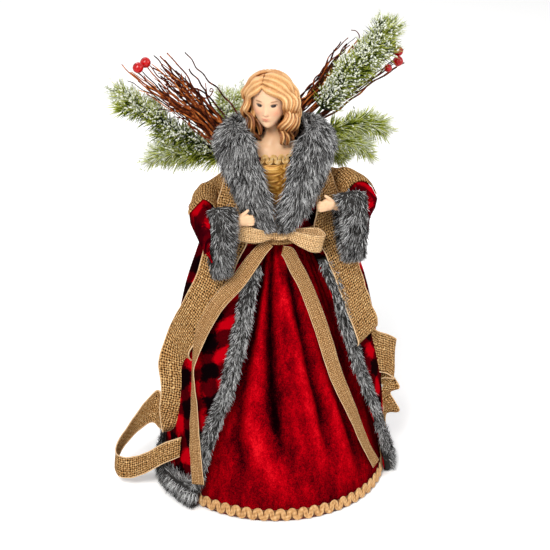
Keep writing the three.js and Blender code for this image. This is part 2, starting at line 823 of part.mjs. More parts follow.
// Direction straight out of the cloth at a place
function outwardOf(radiusAt, azimuth, level) {
  const place = (a, l) => polar(a, radiusAt(a, l), heightAt(l));
  const round = place(azimuth + 5, level).sub(place(azimuth - 5, level));
  const rise = place(azimuth, level + 0.02).sub(place(azimuth, level - 0.02));
  return round.cross(rise).normalize();
}
function bowTail(radiusAt, rows) {
  const places = rows.map(([azimuth, level, offset]) =>
    polar(azimuth, radiusAt(azimuth, level) + offset * ribbonReach, heightAt(level)),
  );
  const stations = places.map((middle, i) => {
    const next = places[Math.min(i + 1, places.length - 1)];
    const last = places[Math.max(i - 1, 0)];
    const outward = outwardOf(radiusAt, rows[i][0], rows[i][1]);
    const flat = outward.cross(next.clone().sub(last)).normalize();
    return {
      middle,
      across: flat.applyAxisAngle(next.clone().sub(last).normalize(), rows[i][4] * degrees),
      share: rows[i][3],
    };
  });
  return ribbonOf(stations, bowWidth, ribbonThickness, 1, 20);
}
addPiece("bow_tail_left", bowTail(coatRadius, leftTailShares), 0xcc9f70, 0.9);
addPiece("bow_tail_right", bowTail(skirtRadius, rightTailShares), 0xcc9f70, 0.9);

// Wide ribbons down each side. Rows on the coat as for the tails, then places in shares of the
// ribbon's reach with the direction across, for the loop and the folds that stand off the coat.
const leftSideShares = [
  [-73, 1.84, 0.012, 0.4],
  [-68, 1.46, 0.03, 0.6],
  [-66, 1.14, 0.04, 0.66],
  [-63, 0.98, 0.045, 0.72],
  [-62, 0.88, 0.045, 0.8],
  [-68, 0.76, 0.045, 0.86],
  [-76, 0.64, 0.05, 0.9],
];
const leftLooseShares = [
  [-0.99, -0.21, 1.24, -0.8, 0.6, 0, 0.85],
  [-1.06, -0.12, 1.0, -0.7, 0.7, 0.2, 0.8],
  [-1.13, 0.02, 0.72, -0.6, 0.6, 0.5, 0.75],
  [-1.14, 0.24, 0.5, -0.4, 0.35, 0.84, 0.8],
  [-1.27, 0.28, 0.34, -0.25, 0.1, 0.95, 0.75],
  [-1.38, 0.2, 0.22, -0.4, 0, 0.9, 0.65],
  [-1.41, 0.1, 0.19, -0.5, -0.1, 0.86, 0.65],
  [-1.35, 0.03, 0.2, -0.45, -0.15, 0.88, 0.7],
  [-1.23, 0.04, 0.24, -0.3, -0.1, 0.95, 0.75],
  [-1.13, 0.09, 0.28, -0.2, 0, 0.98, 0.75],
];
const rightSideShares = [
  [73, 1.84, 0.012, 0.4],
  [68, 1.46, 0.03, 0.6],
  [66, 1.14, 0.04, 0.66],
  [63, 0.98, 0.045, 0.72],
  [62, 0.86, 0.045, 0.8],
  [65, 0.74, 0.05, 0.85],
];
const rightLooseShares = [
  [0.82, -0.44, 1.45, 0.89, 0.46, 0, 0.9],
  [0.92, -0.42, 1.22, 0.89, 0.46, 0, 0.97],
  [0.96, -0.42, 1.0, 0.89, 0.4, -0.1, 0.97],
  [1.03, -0.28, 0.84, 0.8, 0.5, -0.3, 0.6],
  [1.1, -0.16, 0.7, 0.8, 0.4, 0.4, 0.5],
  [1.08, -0.14, 0.58, 0.8, 0.5, -0.3, 0.5],
  [1.14, -0.12, 0.46, 0.85, 0.3, -0.4, 0.55],
  [1.1, -0.06, 0.34, 0.7, 0.6, 0.3, 0.45],
  [1.13, -0.04, 0.23, 0.8, 0.5, 0, 0.4],
];
function sideRibbon(rows, loose, steps) {
  const places = rows.map(([azimuth, level, offset]) =>
    polar(azimuth, coatRadius(azimuth, level) + offset * ribbonReach, heightAt(level)),
  );
  const side = Math.sign(rows[0][0]);
  const stations = places.map((middle, i) => {
    const next = places[Math.min(i + 1, places.length - 1)];
    const last = places[Math.max(i - 1, 0)];
    const across = outwardOf(coatRadius, rows[i][0], rows[i][1]).cross(next.clone().sub(last)).normalize();
    return { middle, across: across.multiplyScalar(Math.sign(across.x * side)), share: rows[i][3] };
  });
  for (const [x, y, z, ax, ay, az, share] of loose) {
    stations.push({
      middle: new THREE.Vector3(x, y, z).multiplyScalar(ribbonReach),
      across: new THREE.Vector3(ax, ay, az).normalize(),
      share,
    });
  }
  return ribbonOf(stations, burlapWidth, burlapThickness, 2, steps);
}
addPiece("side_ribbon_left", sideRibbon(leftSideShares, leftLooseShares, 36), 0x9a6a38, 0.95);
addPiece("side_ribbon_right", sideRibbon(rightSideShares, rightLooseShares, 34), 0x9a6a38, 0.95);

// Arms. Places from the shoulder are out, forward and up, and side is -1 or 1. Forward is a share of the
// collar's reach, which the hands stand off, and the others are shares of the arm's span.
const shoulderHeight = heightAt(1.75);
const pegPlaceShares = [-0.04, -0.39];
const sleeveSides = 12;
const mouthShare = 0.42;
const pegEndShare = 0.3;
const cuffWideShare = 0.23;
const cuffTallShare = 0.57;
const cuffLean = 0.1;
const cuffProfileShares = [
  [0, 0.5],
  [0.12, 0.85],
  [0.5, 1],
  [0.9, 0.8],
  [1, 0.1],
];
// Rows: place of the middle, half width, half height, and how far the top leans out
const sleeveShares = [
  [0.14, -0.1, -0.28, 0.08, 0.08, 0],
  [0.19, -0.06, -0.3, 0.13, 0.14, 0],
  [0.31, 0.06, -0.38, 0.2, 0.2, 0],
  [0.42, 0.26, -0.5, 0.26, 0.28, 0],
  [0.45, 0.46, -0.62, 0.27, 0.38, 0],
  [0.46, 0.7, -0.76, 0.28, 0.48, 0],
  [0.44, 0.92, -0.84, 0.3, 0.57, 0],
  [0.44, 1.12, -0.88, 0.26, 0.5, 0],
  [0.44, 1.22, -0.88, 0.12, 0.28, 0],
];
function armPlace(side, lift, out, forward, rise) {
  return new THREE.Vector3(
    side * (shoulderOut + out * armSpan),
    -forward * collarReach,
    shoulderHeight + lift + rise * armSpan,
  );
}
function sleevePoint(side, lift, [out, forward, rise, wide, tall, lean], step, shrink) {
  const turn = (2 * Math.PI * step) / sleeveSides;
  const z = (tall * armSpan - shrink) * Math.sin(turn);
  const x = (wide * armSpan - shrink) * Math.cos(turn) + lean * z;
  return armPlace(side, lift, out, forward, rise).add(new THREE.Vector3(side * x, 0, z));
}
function sleeveRings(side, lift, rows, shrink) {
  return rows.map((row) =>
    Array.from({ length: sleeveSides }, (_, i) => sleevePoint(side, lift, row, i, shrink)),
  );
}

// Hand with its forearm: palm, curled fingers and thumb, all in shares of the arm's span
const handDropShare = 0.08;
const palmShares = [0.13, 0.075, 0.11];
const forearmRadiusShares = [0.09, 0.08, 0.066, 0.06];
const fingerDropShares = [-0.07, -0.024, 0.022, 0.066];
const fingerRadiusShares = [0.03, 0.029, 0.026, 0.02];
const thumbRadiusShares = [0.036, 0.032, 0.022];
const spanned = (shares) => shares.map((share) => share * armSpan);
function handOf(side, lift, inward, room) {
  const at = (out, forward, rise) =>
    armPlace(side, lift, out > 0 ? out : out - inward, forward - 0.03, rise - handDropShare);
  const arm = stickOf(
    [at(0.8, 0.92, -0.6), at(0.2, 0.95, -0.48), at(-0.02, 1.01, -0.42), at(-0.1, 1.06, -0.36)],
    spanned(forearmRadiusShares),
    8,
  );
  const palm = new THREE.SphereGeometry(1, 8, 6).scale(...spanned(palmShares));
  const palmAt = at(-0.17, 1.07, -0.35);
  palm.translate(palmAt.x, palmAt.y, palmAt.z);
  const fingers = fingerDropShares.map((drop) => {
    const base = [-0.22, 1.09, -0.37 + drop];
    const path = [
      at(...base),
      at(base[0] - 0.08, base[1] + 0.03, base[2]),
      at(base[0] - 0.12, base[1] - 0.03, base[2] - 0.005),
      at(base[0] - 0.07, base[1] - 0.07, base[2] - 0.005),
    ];
    return stickOf(path, spanned(fingerRadiusShares), 4);
  });
  const thumb = stickOf(
    [at(-0.12, 1.08, -0.28), at(-0.19, 1.11, -0.2), at(-0.25, 1.11, -0.17)],
    spanned(thumbRadiusShares),
    5,
    new THREE.Vector3(0, 1, 0),
  );
  const forearm = solidOf(arm).intersect(room);
  const handSolids = [palm, ...fingers, thumb].map(solidOf);
  return geometryOf(handSolids.reduce((whole, next) => whole.add(next), forearm));
}

for (const [name, side, lift, inward] of [
  ["left", -1, 0, 0],
  ["right", 1, rightArmLift, 0.1],
]) {
  const outer = solidOf(loftOf(sleeveRings(side, lift, sleeveShares, 0)));
  const hollowRows = sleeveShares.slice(4, -1);
  const inner = solidOf(loftOf(sleeveRings(side, lift, hollowRows, sleeveWall)));
  const mouthSide = mouthShare * armSpan;
  const cutter = new THREE.BoxGeometry(armSpan, armSpan, 3 * armSpan);
  const cutterAt = armPlace(side, lift, 0, 1.05, -0.7);
  cutterAt.x = side * (shoulderOut + mouthSide - armSpan / 2);
  cutter.translate(cutterAt.x, cutterAt.y, cutterAt.z);
  const mouth = solidOf(cutter);

  // Peg on the swing axis, which meets the coat's side
  const pegAt = armPlace(side, lift, 0, ...pegPlaceShares);
  const pegInner = coatRadius(90, levelAt(pegAt.z - pegRadius)) + coatThickness / 2 + clearance;
  const pegOuter = shoulderOut + pegEndShare * armSpan;
  const peg = new THREE.CylinderGeometry(pegRadius, pegRadius, pegOuter - pegInner, 10);
  peg.rotateZ(Math.PI / 2).translate((side * (pegOuter + pegInner)) / 2, pegAt.y, pegAt.z);
  const sleeve = outer.subtract(inner).subtract(mouth).add(solidOf(peg));
  addPiece(`sleeve_${name}`, geometryOf(sleeve), 0x8a060c, 0.85);

  // Fur cuff round the mouth of the sleeve
  const cuffMiddle = armPlace(side, lift, 0, 0.97, -0.84);
  cuffMiddle.x = side * (shoulderOut + mouthSide - clearance);
  const cuffPoint = (u, inwards, thick) => {
    const turn = 2 * Math.PI * u;
    const z = (cuffTallShare * armSpan + thick) * Math.sin(turn);
    const y = (cuffWideShare * armSpan + thick) * Math.cos(turn);
    const x = -side * (inwards * cuffDepth + inwards * cuffLean * z);
    return cuffMiddle.clone().add(new THREE.Vector3(x, y, z));
  };
  addPiece(
    `cuff_${name}`,
    shellBetween(
      (u, v, i, j) => cuffPoint(u, cuffProfileShares[j][0], 0),
      (u, v, i, j) => cuffPoint(u, cuffProfileShares[j][0], cuffProfileShares[j][1] * cuffPile),
      14,
      4,
      true,
    ),
    0x5c5853,
    1,
  );
  const room = solidOf(loftOf(sleeveRings(side, lift, hollowRows, sleeveWall + clearance))).add(mouth);
  addPiece(`hand_${name}`, handOf(side, lift, inward, room), 0xebc499, 0.55);

  // Wide ribbon over the upper arm
  const drapeRows = sleeveShares.slice(1, 5);
  const drapeSteps = 6;
  const drapeSide = (offset) => (u, v, i, j) => sleevePoint(side, lift, drapeRows[j], i, -offset);
  addPiece(
    `shoulder_ribbon_${name}`,
    shellBetween(
      drapeSide(looseFit),
      drapeSide(looseFit + burlapThickness),
      drapeSteps,
      drapeRows.length - 1,
    ),
    0x81572c,
    0.95,
  );
}

// Block at the back, on the coat
const blockTop = heightAt(1.8);
const blockBase = coatRadius(halfTurn, levelAt(blockTop - wingBlockHeight));
const blockBack = blockBase + coatThickness / 2 + clearance;
const block = new THREE.BoxGeometry(wingBlockWidth, wingBlockDepth, wingBlockHeight);
block.translate(0, blockBack + wingBlockDepth / 2, blockTop - wingBlockHeight / 2);
addPiece("wing_block", block, 0xa57f52, 0.8);
const wingBack = blockBack + wingBlockDepth + clearance;

// Wings. Places are in shares of the wing's span: aside from the middle, back from the block, and up
// from the block's top.
function wingPlace(aside, back, rise) {
  return new THREE.Vector3(aside * wingSpan, wingBack + back * wingSpan, blockTop + rise * wingSpan);
}

// Twigs of each wing by their ends. The last value tells the berry there: none, a full one or a small one.
const berrySizes = [0, berryRadius, smallBerryRadius];
const leftTwigShares = [
  [-1.2, 0.06, 0.86, 0],
  [-1.089, 0.0, 0.824, 1],
  [-1.012, 0.09, 0.836, 1],
  [-0.92, 0.08, 0.88, 0],
  [-0.85, 0.04, 0.95, 0],
  [-0.67, 0.07, 0.91, 0],
  [-0.65, 0.03, 0.77, 0],
  [-1.09, 0.06, 0.7, 0],
  [-1.04, 0.09, 0.62, 0],
  [-0.77, 0.02, 0.82, 0],
  [-0.59, 0.06, 0.68, 0],
];
const rightTwigShares = [
  [0.76, 0.24, 0.9, 0],
  [0.84, 0.2, 0.93, 0],
  [0.9, 0.26, 0.86, 0],
  [0.7, 0.22, 0.8, 0],
  [1.3, 0.33, 0.69, 0],
  [1.26, 0.22, 0.653, 1],
  [1.276, 0.28, 0.725, 1],
  [1.21, 0.22, 0.775, 2],
  [1.151, 0.16, 0.614, 2],
  [1.2, 0.26, 0.6, 0],
  [0.66, 0.26, 0.64, 0],
];
const boundShares = [0.33, 0.07, 0.16];
const twigTaperShares = [1.25, 1, 0.6];

function twigBundle(name, side, tips) {
  const back = tips[0][1] - 0.06;
  const foot = wingPlace(side * 0.12, bundleRadius / wingSpan, -0.02);
  const bound = wingPlace(side * boundShares[0], boundShares[1] + back / 2, boundShares[2]);
  const core = stickOf([foot, bound], [bundleRadius, bundleRadius], 8);
  const spread = spreadFrom(11 + side);
  const sticks = tips.map(([aside, behind, rise, kind], i) => {
    const berrySize = berrySizes[kind];
    const tip = wingPlace(aside, behind, rise);
    const turn = i * goldenTurn;
    const from = bound.clone().lerp(foot, 0.3);
    from.x += 0.7 * bundleRadius * Math.cos(turn);
    from.y += 0.7 * bundleRadius * Math.sin(turn);
    const middle = from.clone().lerp(tip, 0.5);
    middle.x += (spread() - 0.5) * 0.06 * wingSpan;
    middle.z += (spread() - 0.5) * 0.06 * wingSpan;
    if (berrySize > 0) {
      const berry = new THREE.SphereGeometry(berrySize, 8, 6).translate(tip.x, tip.y, tip.z);
      addPiece(`berry_${name}_${i}`, berry, 0xc9040b, 0.25);
      tip.add(middle.clone().sub(tip).setLength(berrySize + clearance));
    }
    return stickOf([from, middle, tip], twigTaperShares.map((share) => share * twigRadius), 3);
  });
  addPiece(`twig_bundle_${name}`, joined([core, ...sticks]), 0x6b3a1c, 0.9);
}

// Pine: stems from one foot, with needles that lean to the tip. Each row holds the aside, back and up of
// its start, middle and tip; the last value is the count of its needles.
const leftPineShares = [
  [-0.45, 0.2, -0.02, -0.85, 0.24, 0.23, -1.2, 0.24, 0.52, 66],
  [-0.42, 0.2, -0.09, -0.68, 0.24, -0.06, -0.88, 0.24, -0.03, 48],
  [-0.3, 0.2, 0.12, -0.28, 0.22, 0.28, -0.25, 0.24, 0.38, 36],
];
const rightPineShares = [
  [0.5, 0.05, 0.3, 0.84, 0.05, 0.68, 1.13, 0.05, 0.99, 72],
  [0.58, 0.05, 0.12, 0.86, 0.05, 0.15, 1.05, 0.05, 0.14, 42],
  [0.56, 0.05, 0.03, 0.74, 0.05, 0.0, 0.9, 0.05, -0.03, 38],
];
const stemSides = 3;
const stemTaperShares = [1, 1, 1, 1, 0.9];
const stemTwist = 17;
const needleLean = 40 * degrees;

// Stem along a path with two needles on each of its rings, each pulled out of one face of the stem
function needledStem(path, radiusAt, ringCount) {
  const rings = Array.from({ length: ringCount + 1 }, (_, j) => {
    const along = j / ringCount;
    const direction = path.getTangentAt(along);
    const turned = up.clone().applyAxisAngle(direction, j * stemTwist * degrees);
    return ringAt(path.getPointAt(along), direction, radiusAt(along), stemSides, radiusAt(along), turned);
  });
  const points = rings.flat();
  const triangles = [];
  const at = (j, i) => j * stemSides + (i % stemSides);
  for (let j = 0; j < ringCount; j += 1) {
    for (let i = 0; i < stemSides; i += 1) {
      triangles.push([at(j, i), at(j, i + 1), at(j + 1, i + 1)]);
      const face = [at(j, i), at(j + 1, i + 1), at(j + 1, i)];
      if ((i + j) % 3 === 0 || j < 2) {
        triangles.push(face);
        continue;
      }
      const along = (j + 0.5) / ringCount;
      const root = face.reduce((sum, k) => sum.add(points[k]), new THREE.Vector3()).divideScalar(3);
      const direction = path.getTangentAt(along);
      const outward = root.clone().sub(path.getPointAt(along));
      outward.addScaledVector(direction, -outward.dot(direction)).normalize();
      const reach = needleLength * (1 - 0.25 * along);
      root.addScaledVector(direction, reach * Math.cos(needleLean));
      points.push(root.addScaledVector(outward, reach * Math.sin(needleLean)));
      for (let k = 0; k < 3; k += 1) triangles.push([face[k], face[(k + 1) % 3], points.length - 1]);
    }
  }
  for (const [ring, turned] of [[0, true], [ringCount, false]]) {
    for (let i = 1; i + 1 < stemSides; i += 1) {
      const [a, b, c] = [at(ring, 0), at(ring, i), at(ring, i + 1)];
      triangles.push(turned ? [a, c, b] : [a, b, c]);
    }
  }
  return closedMesh(points, triangles);
}

function pineSprigs(side, rows) {
  const foot = wingPlace(side * 0.1, pineStemRadius / wingSpan, -0.12);
  const heel = wingPlace(side * 0.2, pineStemRadius / wingSpan, -0.1);
  const bend = wingPlace(side * 0.26, rows[0][1] - 0.02, -0.02);
  return joined(
    rows.flatMap((row) => {
      const [start, middle, tip] = [0, 3, 6].map((k) => wingPlace(row[k], row[k + 1], row[k + 2]));
      const path = curveOf([start, middle, tip]);
      const inside = path.getPointAt(0.04);
      const radii = stemTaperShares.map((share) => share * pineStemRadius);
      const stem = stickOf([foot, heel, bend, start, inside], radii, 5);
      return [stem, needledStem(path, (along) => pineStemRadius * (1 - 0.5 * along), row[9] / 2)];
    }),
  );
}

for (const [name, side, tips, pine] of [
  ["left", -1, leftTwigShares, leftPineShares],
  ["right", 1, rightTwigShares, rightPineShares],
]) {
  twigBundle(name, side, tips);
  addPiece(`pine_sprigs_${name}`, pineSprigs(side, pine), 0x5f7a3a, 0.8);
}

// Stand the whole on the floor with its box's middle on the axis
const box = new THREE.Box3().setFromObject(angel);
const shift = box.getCenter(new THREE.Vector3()).negate();
shift.z = -box.min.z;
angel.children.forEach((mesh) => mesh.geometry.translate(shift.x, shift.y, shift.z));

export default angel;
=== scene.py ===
import math

import bpy
import numpy as np
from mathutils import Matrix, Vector


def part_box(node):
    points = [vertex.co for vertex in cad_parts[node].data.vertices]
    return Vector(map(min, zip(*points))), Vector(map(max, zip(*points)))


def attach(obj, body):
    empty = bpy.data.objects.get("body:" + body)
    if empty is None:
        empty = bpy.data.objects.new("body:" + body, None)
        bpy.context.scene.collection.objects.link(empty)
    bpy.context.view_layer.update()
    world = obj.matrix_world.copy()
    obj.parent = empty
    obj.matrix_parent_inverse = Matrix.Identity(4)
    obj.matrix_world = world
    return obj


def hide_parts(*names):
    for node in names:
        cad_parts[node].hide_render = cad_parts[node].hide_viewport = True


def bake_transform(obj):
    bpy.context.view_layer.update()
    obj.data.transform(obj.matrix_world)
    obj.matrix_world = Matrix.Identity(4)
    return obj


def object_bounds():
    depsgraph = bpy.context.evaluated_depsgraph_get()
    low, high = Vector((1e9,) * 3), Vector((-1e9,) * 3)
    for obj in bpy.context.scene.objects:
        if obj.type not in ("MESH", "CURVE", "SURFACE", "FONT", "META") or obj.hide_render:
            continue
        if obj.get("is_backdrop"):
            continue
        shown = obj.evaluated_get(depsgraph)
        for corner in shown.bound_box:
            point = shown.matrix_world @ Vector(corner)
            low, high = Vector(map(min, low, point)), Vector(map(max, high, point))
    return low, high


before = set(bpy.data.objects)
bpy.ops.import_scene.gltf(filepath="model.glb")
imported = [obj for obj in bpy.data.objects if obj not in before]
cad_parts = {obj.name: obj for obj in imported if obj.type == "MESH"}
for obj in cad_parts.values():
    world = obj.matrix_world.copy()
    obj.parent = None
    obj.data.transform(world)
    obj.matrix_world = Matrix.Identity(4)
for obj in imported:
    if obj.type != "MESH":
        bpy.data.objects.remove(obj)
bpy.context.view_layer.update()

cone_low, cone_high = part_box("base_cone")
axis = np.array([(cone_low[0] + cone_high[0]) / 2, (cone_low[1] + cone_high[1]) / 2, 0.0])
degrees = math.pi / 180


def figure(points):
    """Millimetres about the cone's axis, as metres in the frame."""
    return np.asarray(points, float) * 0.001 + axis


# Numbers and curves
def unit(v):
    return v / np.maximum(np.linalg.norm(v, axis=-1, keepdims=True), 1e-9)


def smooth_table(rows, column, reach=0.05):
    """Reads one column of a table, rounded over its corners."""
    rows = np.array(rows, float)
    x, y = rows[:, 0], rows[:, column]
    grid = np.linspace(x[0] - 0.5, x[-1] + 0.5, 2400)
    first, last = (y[1] - y[0]) / (x[1] - x[0]), (y[-1] - y[-2]) / (x[-1] - x[-2])
    line = np.interp(grid, x, y)
    line = np.where(grid < x[0], y[0] + first * (grid - x[0]), line)
    line = np.where(grid > x[-1], y[-1] + last * (grid - x[-1]), line)
    step = grid[1] - grid[0]
    half = int(3 * reach / step)
    kernel = np.exp(-0.5 * (np.arange(-half, half + 1) * step / reach) ** 2)
    kernel /= kernel.sum()
    padded_line = np.pad(line, half, mode="reflect", reflect_type="odd")
    out = np.convolve(padded_line, kernel, mode="valid")
    return lambda value: np.interp(value, grid, out)


def curve(points):
    """Smooth curve through points, at places from 0 to 1."""
    pts = np.array(points, float)
    n = len(pts)

    def at(t):
        t = np.clip(np.asarray(t, float), 0, 1)
        p = (n - 1) * t
        i = np.clip(np.floor(p).astype(int), 0, n - 2)
        w = (p - i)[..., None]
        p1, p2 = pts[i], pts[i + 1]
        p0 = np.where((i > 0)[..., None], pts[np.maximum(i - 1, 0)], 2 * pts[0] - pts[1])
        p3 = np.where((i < n - 2)[..., None], pts[np.minimum(i + 2, n - 1)], 2 * pts[-1] - pts[-2])
        d0, d1, d2 = (
            np.maximum(np.sqrt(np.linalg.norm(b - a, axis=-1, keepdims=True)), 1e-4)
            for a, b in ((p0, p1), (p1, p2), (p2, p3))
        )
        t1 = ((p1 - p0) / d0 - (p2 - p0) / (d0 + d1) + (p2 - p1) / d1) * d1
        t2 = ((p2 - p1) / d1 - (p3 - p1) / (d1 + d2) + (p3 - p2) / d2) * d1
        return p1 + t1 * w + (-3 * p1 + 3 * p2 - 2 * t1 - t2) * w**2 + (2 * p1 - 2 * p2 + t1 + t2) * w**3

    return at


def ripple(points, scale, seed, count=5):
    """Smooth wandering number from -1 to 1 at each point, the same on each run."""
    rng = np.random.default_rng(seed)
    total = 0
    for _ in range(count):
        k = unit(rng.normal(size=3)) * rng.uniform(0.6, 1.6) / scale
        total = total + np.sin(np.asarray(points) @ k * 2 * math.pi + rng.uniform(0, 6.3))
    return total / count * 1.4


# Meshes
def link(name, data):
    obj = bpy.data.objects.new(name, data)
    bpy.context.scene.collection.objects.link(obj)
    return obj


def paint_with(mesh, colours):
    layer = mesh.attributes.new("paint", "FLOAT_COLOR", "POINT")
    rgba = np.concatenate([np.asarray(colours, float), np.ones((len(colours), 1))], 1)
    layer.data.foreach_set("color", rgba.astype(np.float32).ravel())


def piece(name, points, quads=(), triangles=(), uvs=None, tones=None, paint=None):
    """Mesh object from millimetre points. tones and paint are kept per point, uvs in millimetres."""
    quads = np.asarray(quads, int).reshape(-1, 4)
    triangles = np.asarray(triangles, int).reshape(-1, 3)
    co = figure(points)
    mesh = bpy.data.meshes.new(name)
    mesh.vertices.add(len(co))
    mesh.vertices.foreach_set("co", co.astype(np.float32).ravel())
    loops = np.concatenate([quads.ravel(), triangles.ravel()]).astype(np.int32)
    mesh.loops.add(len(loops))
    mesh.loops.foreach_set("vertex_index", loops)
    counts = np.concatenate([np.full(len(quads), 4), np.full(len(triangles), 3)])
    starts = np.concatenate([[0], np.cumsum(counts)[:-1]]).astype(np.int32)
    mesh.polygons.add(len(counts))
    mesh.polygons.foreach_set("loop_start", starts)
    mesh.polygons.foreach_set("use_smooth", np.full(len(counts), True))
    mesh.update(calc_edges=True)
    if uvs is not None:
        layer = mesh.uv_layers.new(name="UVMap")
        layer.data.foreach_set("uv", np.asarray(uvs, np.float32)[loops].ravel())
    if tones is not None:
        layer = mesh.attributes.new("tone", "FLOAT", "POINT")
        layer.data.foreach_set("value", np.asarray(tones, np.float32))
    if paint is not None:
        paint_with(mesh, paint)
    return link(name, mesh)


def grid_normals(grid, closes):
    if closes:
        along = np.roll(grid, -1, 1) - np.roll(grid, 1, 1)
    else:
        along = np.gradient(grid, axis=1)
    down = np.gradient(grid, axis=0)
    return unit(np.cross(along, down))


def lengths_of(grid, closes):
    across = np.linalg.norm(np.diff(grid, axis=1), axis=2)
    if closes:
        across = np.concatenate([across, np.linalg.norm(grid[:, :1] - grid[:, -1:], axis=2)], axis=1)
    down = np.linalg.norm(np.diff(grid, axis=0), axis=2)
    return across, down


def shell(name, inner, outer, closes=False, tones=None):
    """Closed body between two grids of points of the same shape."""
    rows, cols = inner.shape[:2]
    points = np.concatenate([inner.reshape(-1, 3), outer.reshape(-1, 3)])
    index = np.arange(rows * cols).reshape(rows, cols)
    nxt = np.roll(index, -1, 1) if closes else index[:, 1:]
    here = index if closes else index[:, :-1]
    face = np.stack([here[:-1], nxt[:-1], nxt[1:], here[1:]], -1).reshape(-1, 4)
    shift = rows * cols
    quads = [face + shift, face[:, ::-1]]
    for row, turned in ((0, False), (rows - 1, True)):
        rim = np.stack([here[row], nxt[row], nxt[row] + shift, here[row] + shift], -1)
        quads.append(rim[:, ::-1] if turned else rim)
    if not closes:
        for col, turned in ((0, True), (cols - 1, False)):
            edge = index[:, col]
            rim = np.stack([edge[:-1], edge[1:], edge[1:] + shift, edge[:-1] + shift], -1)
            quads.append(rim[:, ::-1] if turned else rim)
    quads = np.concatenate(quads)
    across, down = lengths_of((inner + outer) / 2, False)
    u = np.concatenate([np.zeros((rows, 1)), np.cumsum(across, 1)], 1)
    u = u - u.mean(1, keepdims=True)
    v = np.concatenate([np.zeros((1, cols)), np.cumsum(down, 0)], 0)
    uvs = np.stack([u, np.broadcast_to(v.mean(1, keepdims=True), u.shape)], -1)
    both = np.concatenate([uvs.reshape(-1, 2)] * 2)
    tone = None if tones is None else np.concatenate([np.asarray(tones).ravel()] * 2)
    a, b, c = (points[quads[:, k]] for k in (0, 1, 2))
    if np.einsum("ij,ij->i", a, np.cross(b, c)).sum() < 0:
        quads = quads[:, ::-1]
    return piece(name, points, quads=quads, uvs=both, tones=tone)


def sheet_of(name, grid, thickness, closes=False, tones=None):
    n = grid_normals(grid, closes)
    return shell(name, grid - n * thickness / 2, grid + n * thickness / 2, closes, tones)


def declare(grid, closes=False):
    """Works out the sheet's width, length and area from the grid that it follows, and keeps none of them."""
    across, down = lengths_of(grid, closes)
    wide, long = across.sum(1).max() / 1000, down.sum(0).max() / 1000
    a, b = grid[:-1], grid[1:]
    if closes:
        a, b = (np.concatenate([g, g[:, :1]], 1) for g in (a, b))
    one = np.cross(a[:, 1:] - a[:, :-1], b[:, :-1] - a[:, :-1])
    two = np.cross(b[:, 1:] - b[:, :-1], b[:, 1:] - a[:, 1:])
    area = (np.linalg.norm(one, axis=2).sum() + np.linalg.norm(two, axis=2).sum()) / 2e6
    if area > wide * long:
        long = area / wide


def ring_body(grid, turned=False, ends=None):
    """Points, quads and end triangles of a body made of rings, with a fan over each end."""
    rows, cols = grid.shape[:2]
    count = rows * cols
    index = np.arange(count).reshape(rows, cols)
    nxt = np.roll(index, -1, 1)
    quads = np.stack([index[:-1], nxt[:-1], nxt[1:], index[1:]], -1).reshape(-1, 4)
    first = np.stack([np.full(cols, count), nxt[0], index[0]], -1)
    last = np.stack([np.full(cols, count + 1), index[-1], nxt[-1]], -1)
    caps = np.concatenate([first, last])
    if turned:
        quads, caps = quads[:, [0, 3, 2, 1]], caps[:, [0, 2, 1]]
    ends = [grid[0].mean(0), grid[-1].mean(0)] if ends is None else ends
    return np.concatenate([grid.reshape(-1, 3), ends]), quads, caps


def tube(points, radii, sides=6, flat=None, reference=(0, 0, 1), ridges=0, ridge=0.0):
    """Rings round a line and their faces: points, quads, triangles and the ridge tone of each point."""
    points = np.asarray(points, float)
    radii = np.broadcast_to(np.asarray(radii, float), len(points))
    other = radii if flat is None else np.broadcast_to(np.asarray(flat, float), len(points))
    way = unit(np.gradient(points, axis=0))
    ref = np.broadcast_to(np.asarray(reference, float), points.shape)
    across = unit(np.cross(ref, way))
    over = unit(np.cross(way, across))
    turn = np.arange(sides) * 2 * math.pi / sides
    tone = np.cos(np.cos(turn) * math.pi * ridges) if ridges else np.zeros(sides)
    swell = 1 + ridge * tone * (np.sin(turn) > -0.2)
    rings = (
        points[:, None]
        + across[:, None] * (radii[:, None] * np.cos(turn))[..., None]
        + over[:, None] * (other[:, None] * np.sin(turn) * swell)[..., None]
    )
    body = ring_body(rings, ends=[points[0], points[-1]])
    return *body, np.concatenate([np.tile(tone, len(points)), [0, 0]])


def gather(parts):
    """Several (points, quads, triangles, tones) as one."""
    shift, points, quads, triangles, tones = 0, [], [], [], []
    for p, q, t, s in parts:
        points.append(p)
        quads.append(np.asarray(q, int).reshape(-1, 4) + shift)
        triangles.append(np.asarray(t, int).reshape(-1, 3) + shift)
        tones.append(s)
        shift += len(p)
    return np.concatenate(points), np.concatenate(quads), np.concatenate(triangles), np.concatenate(tones)


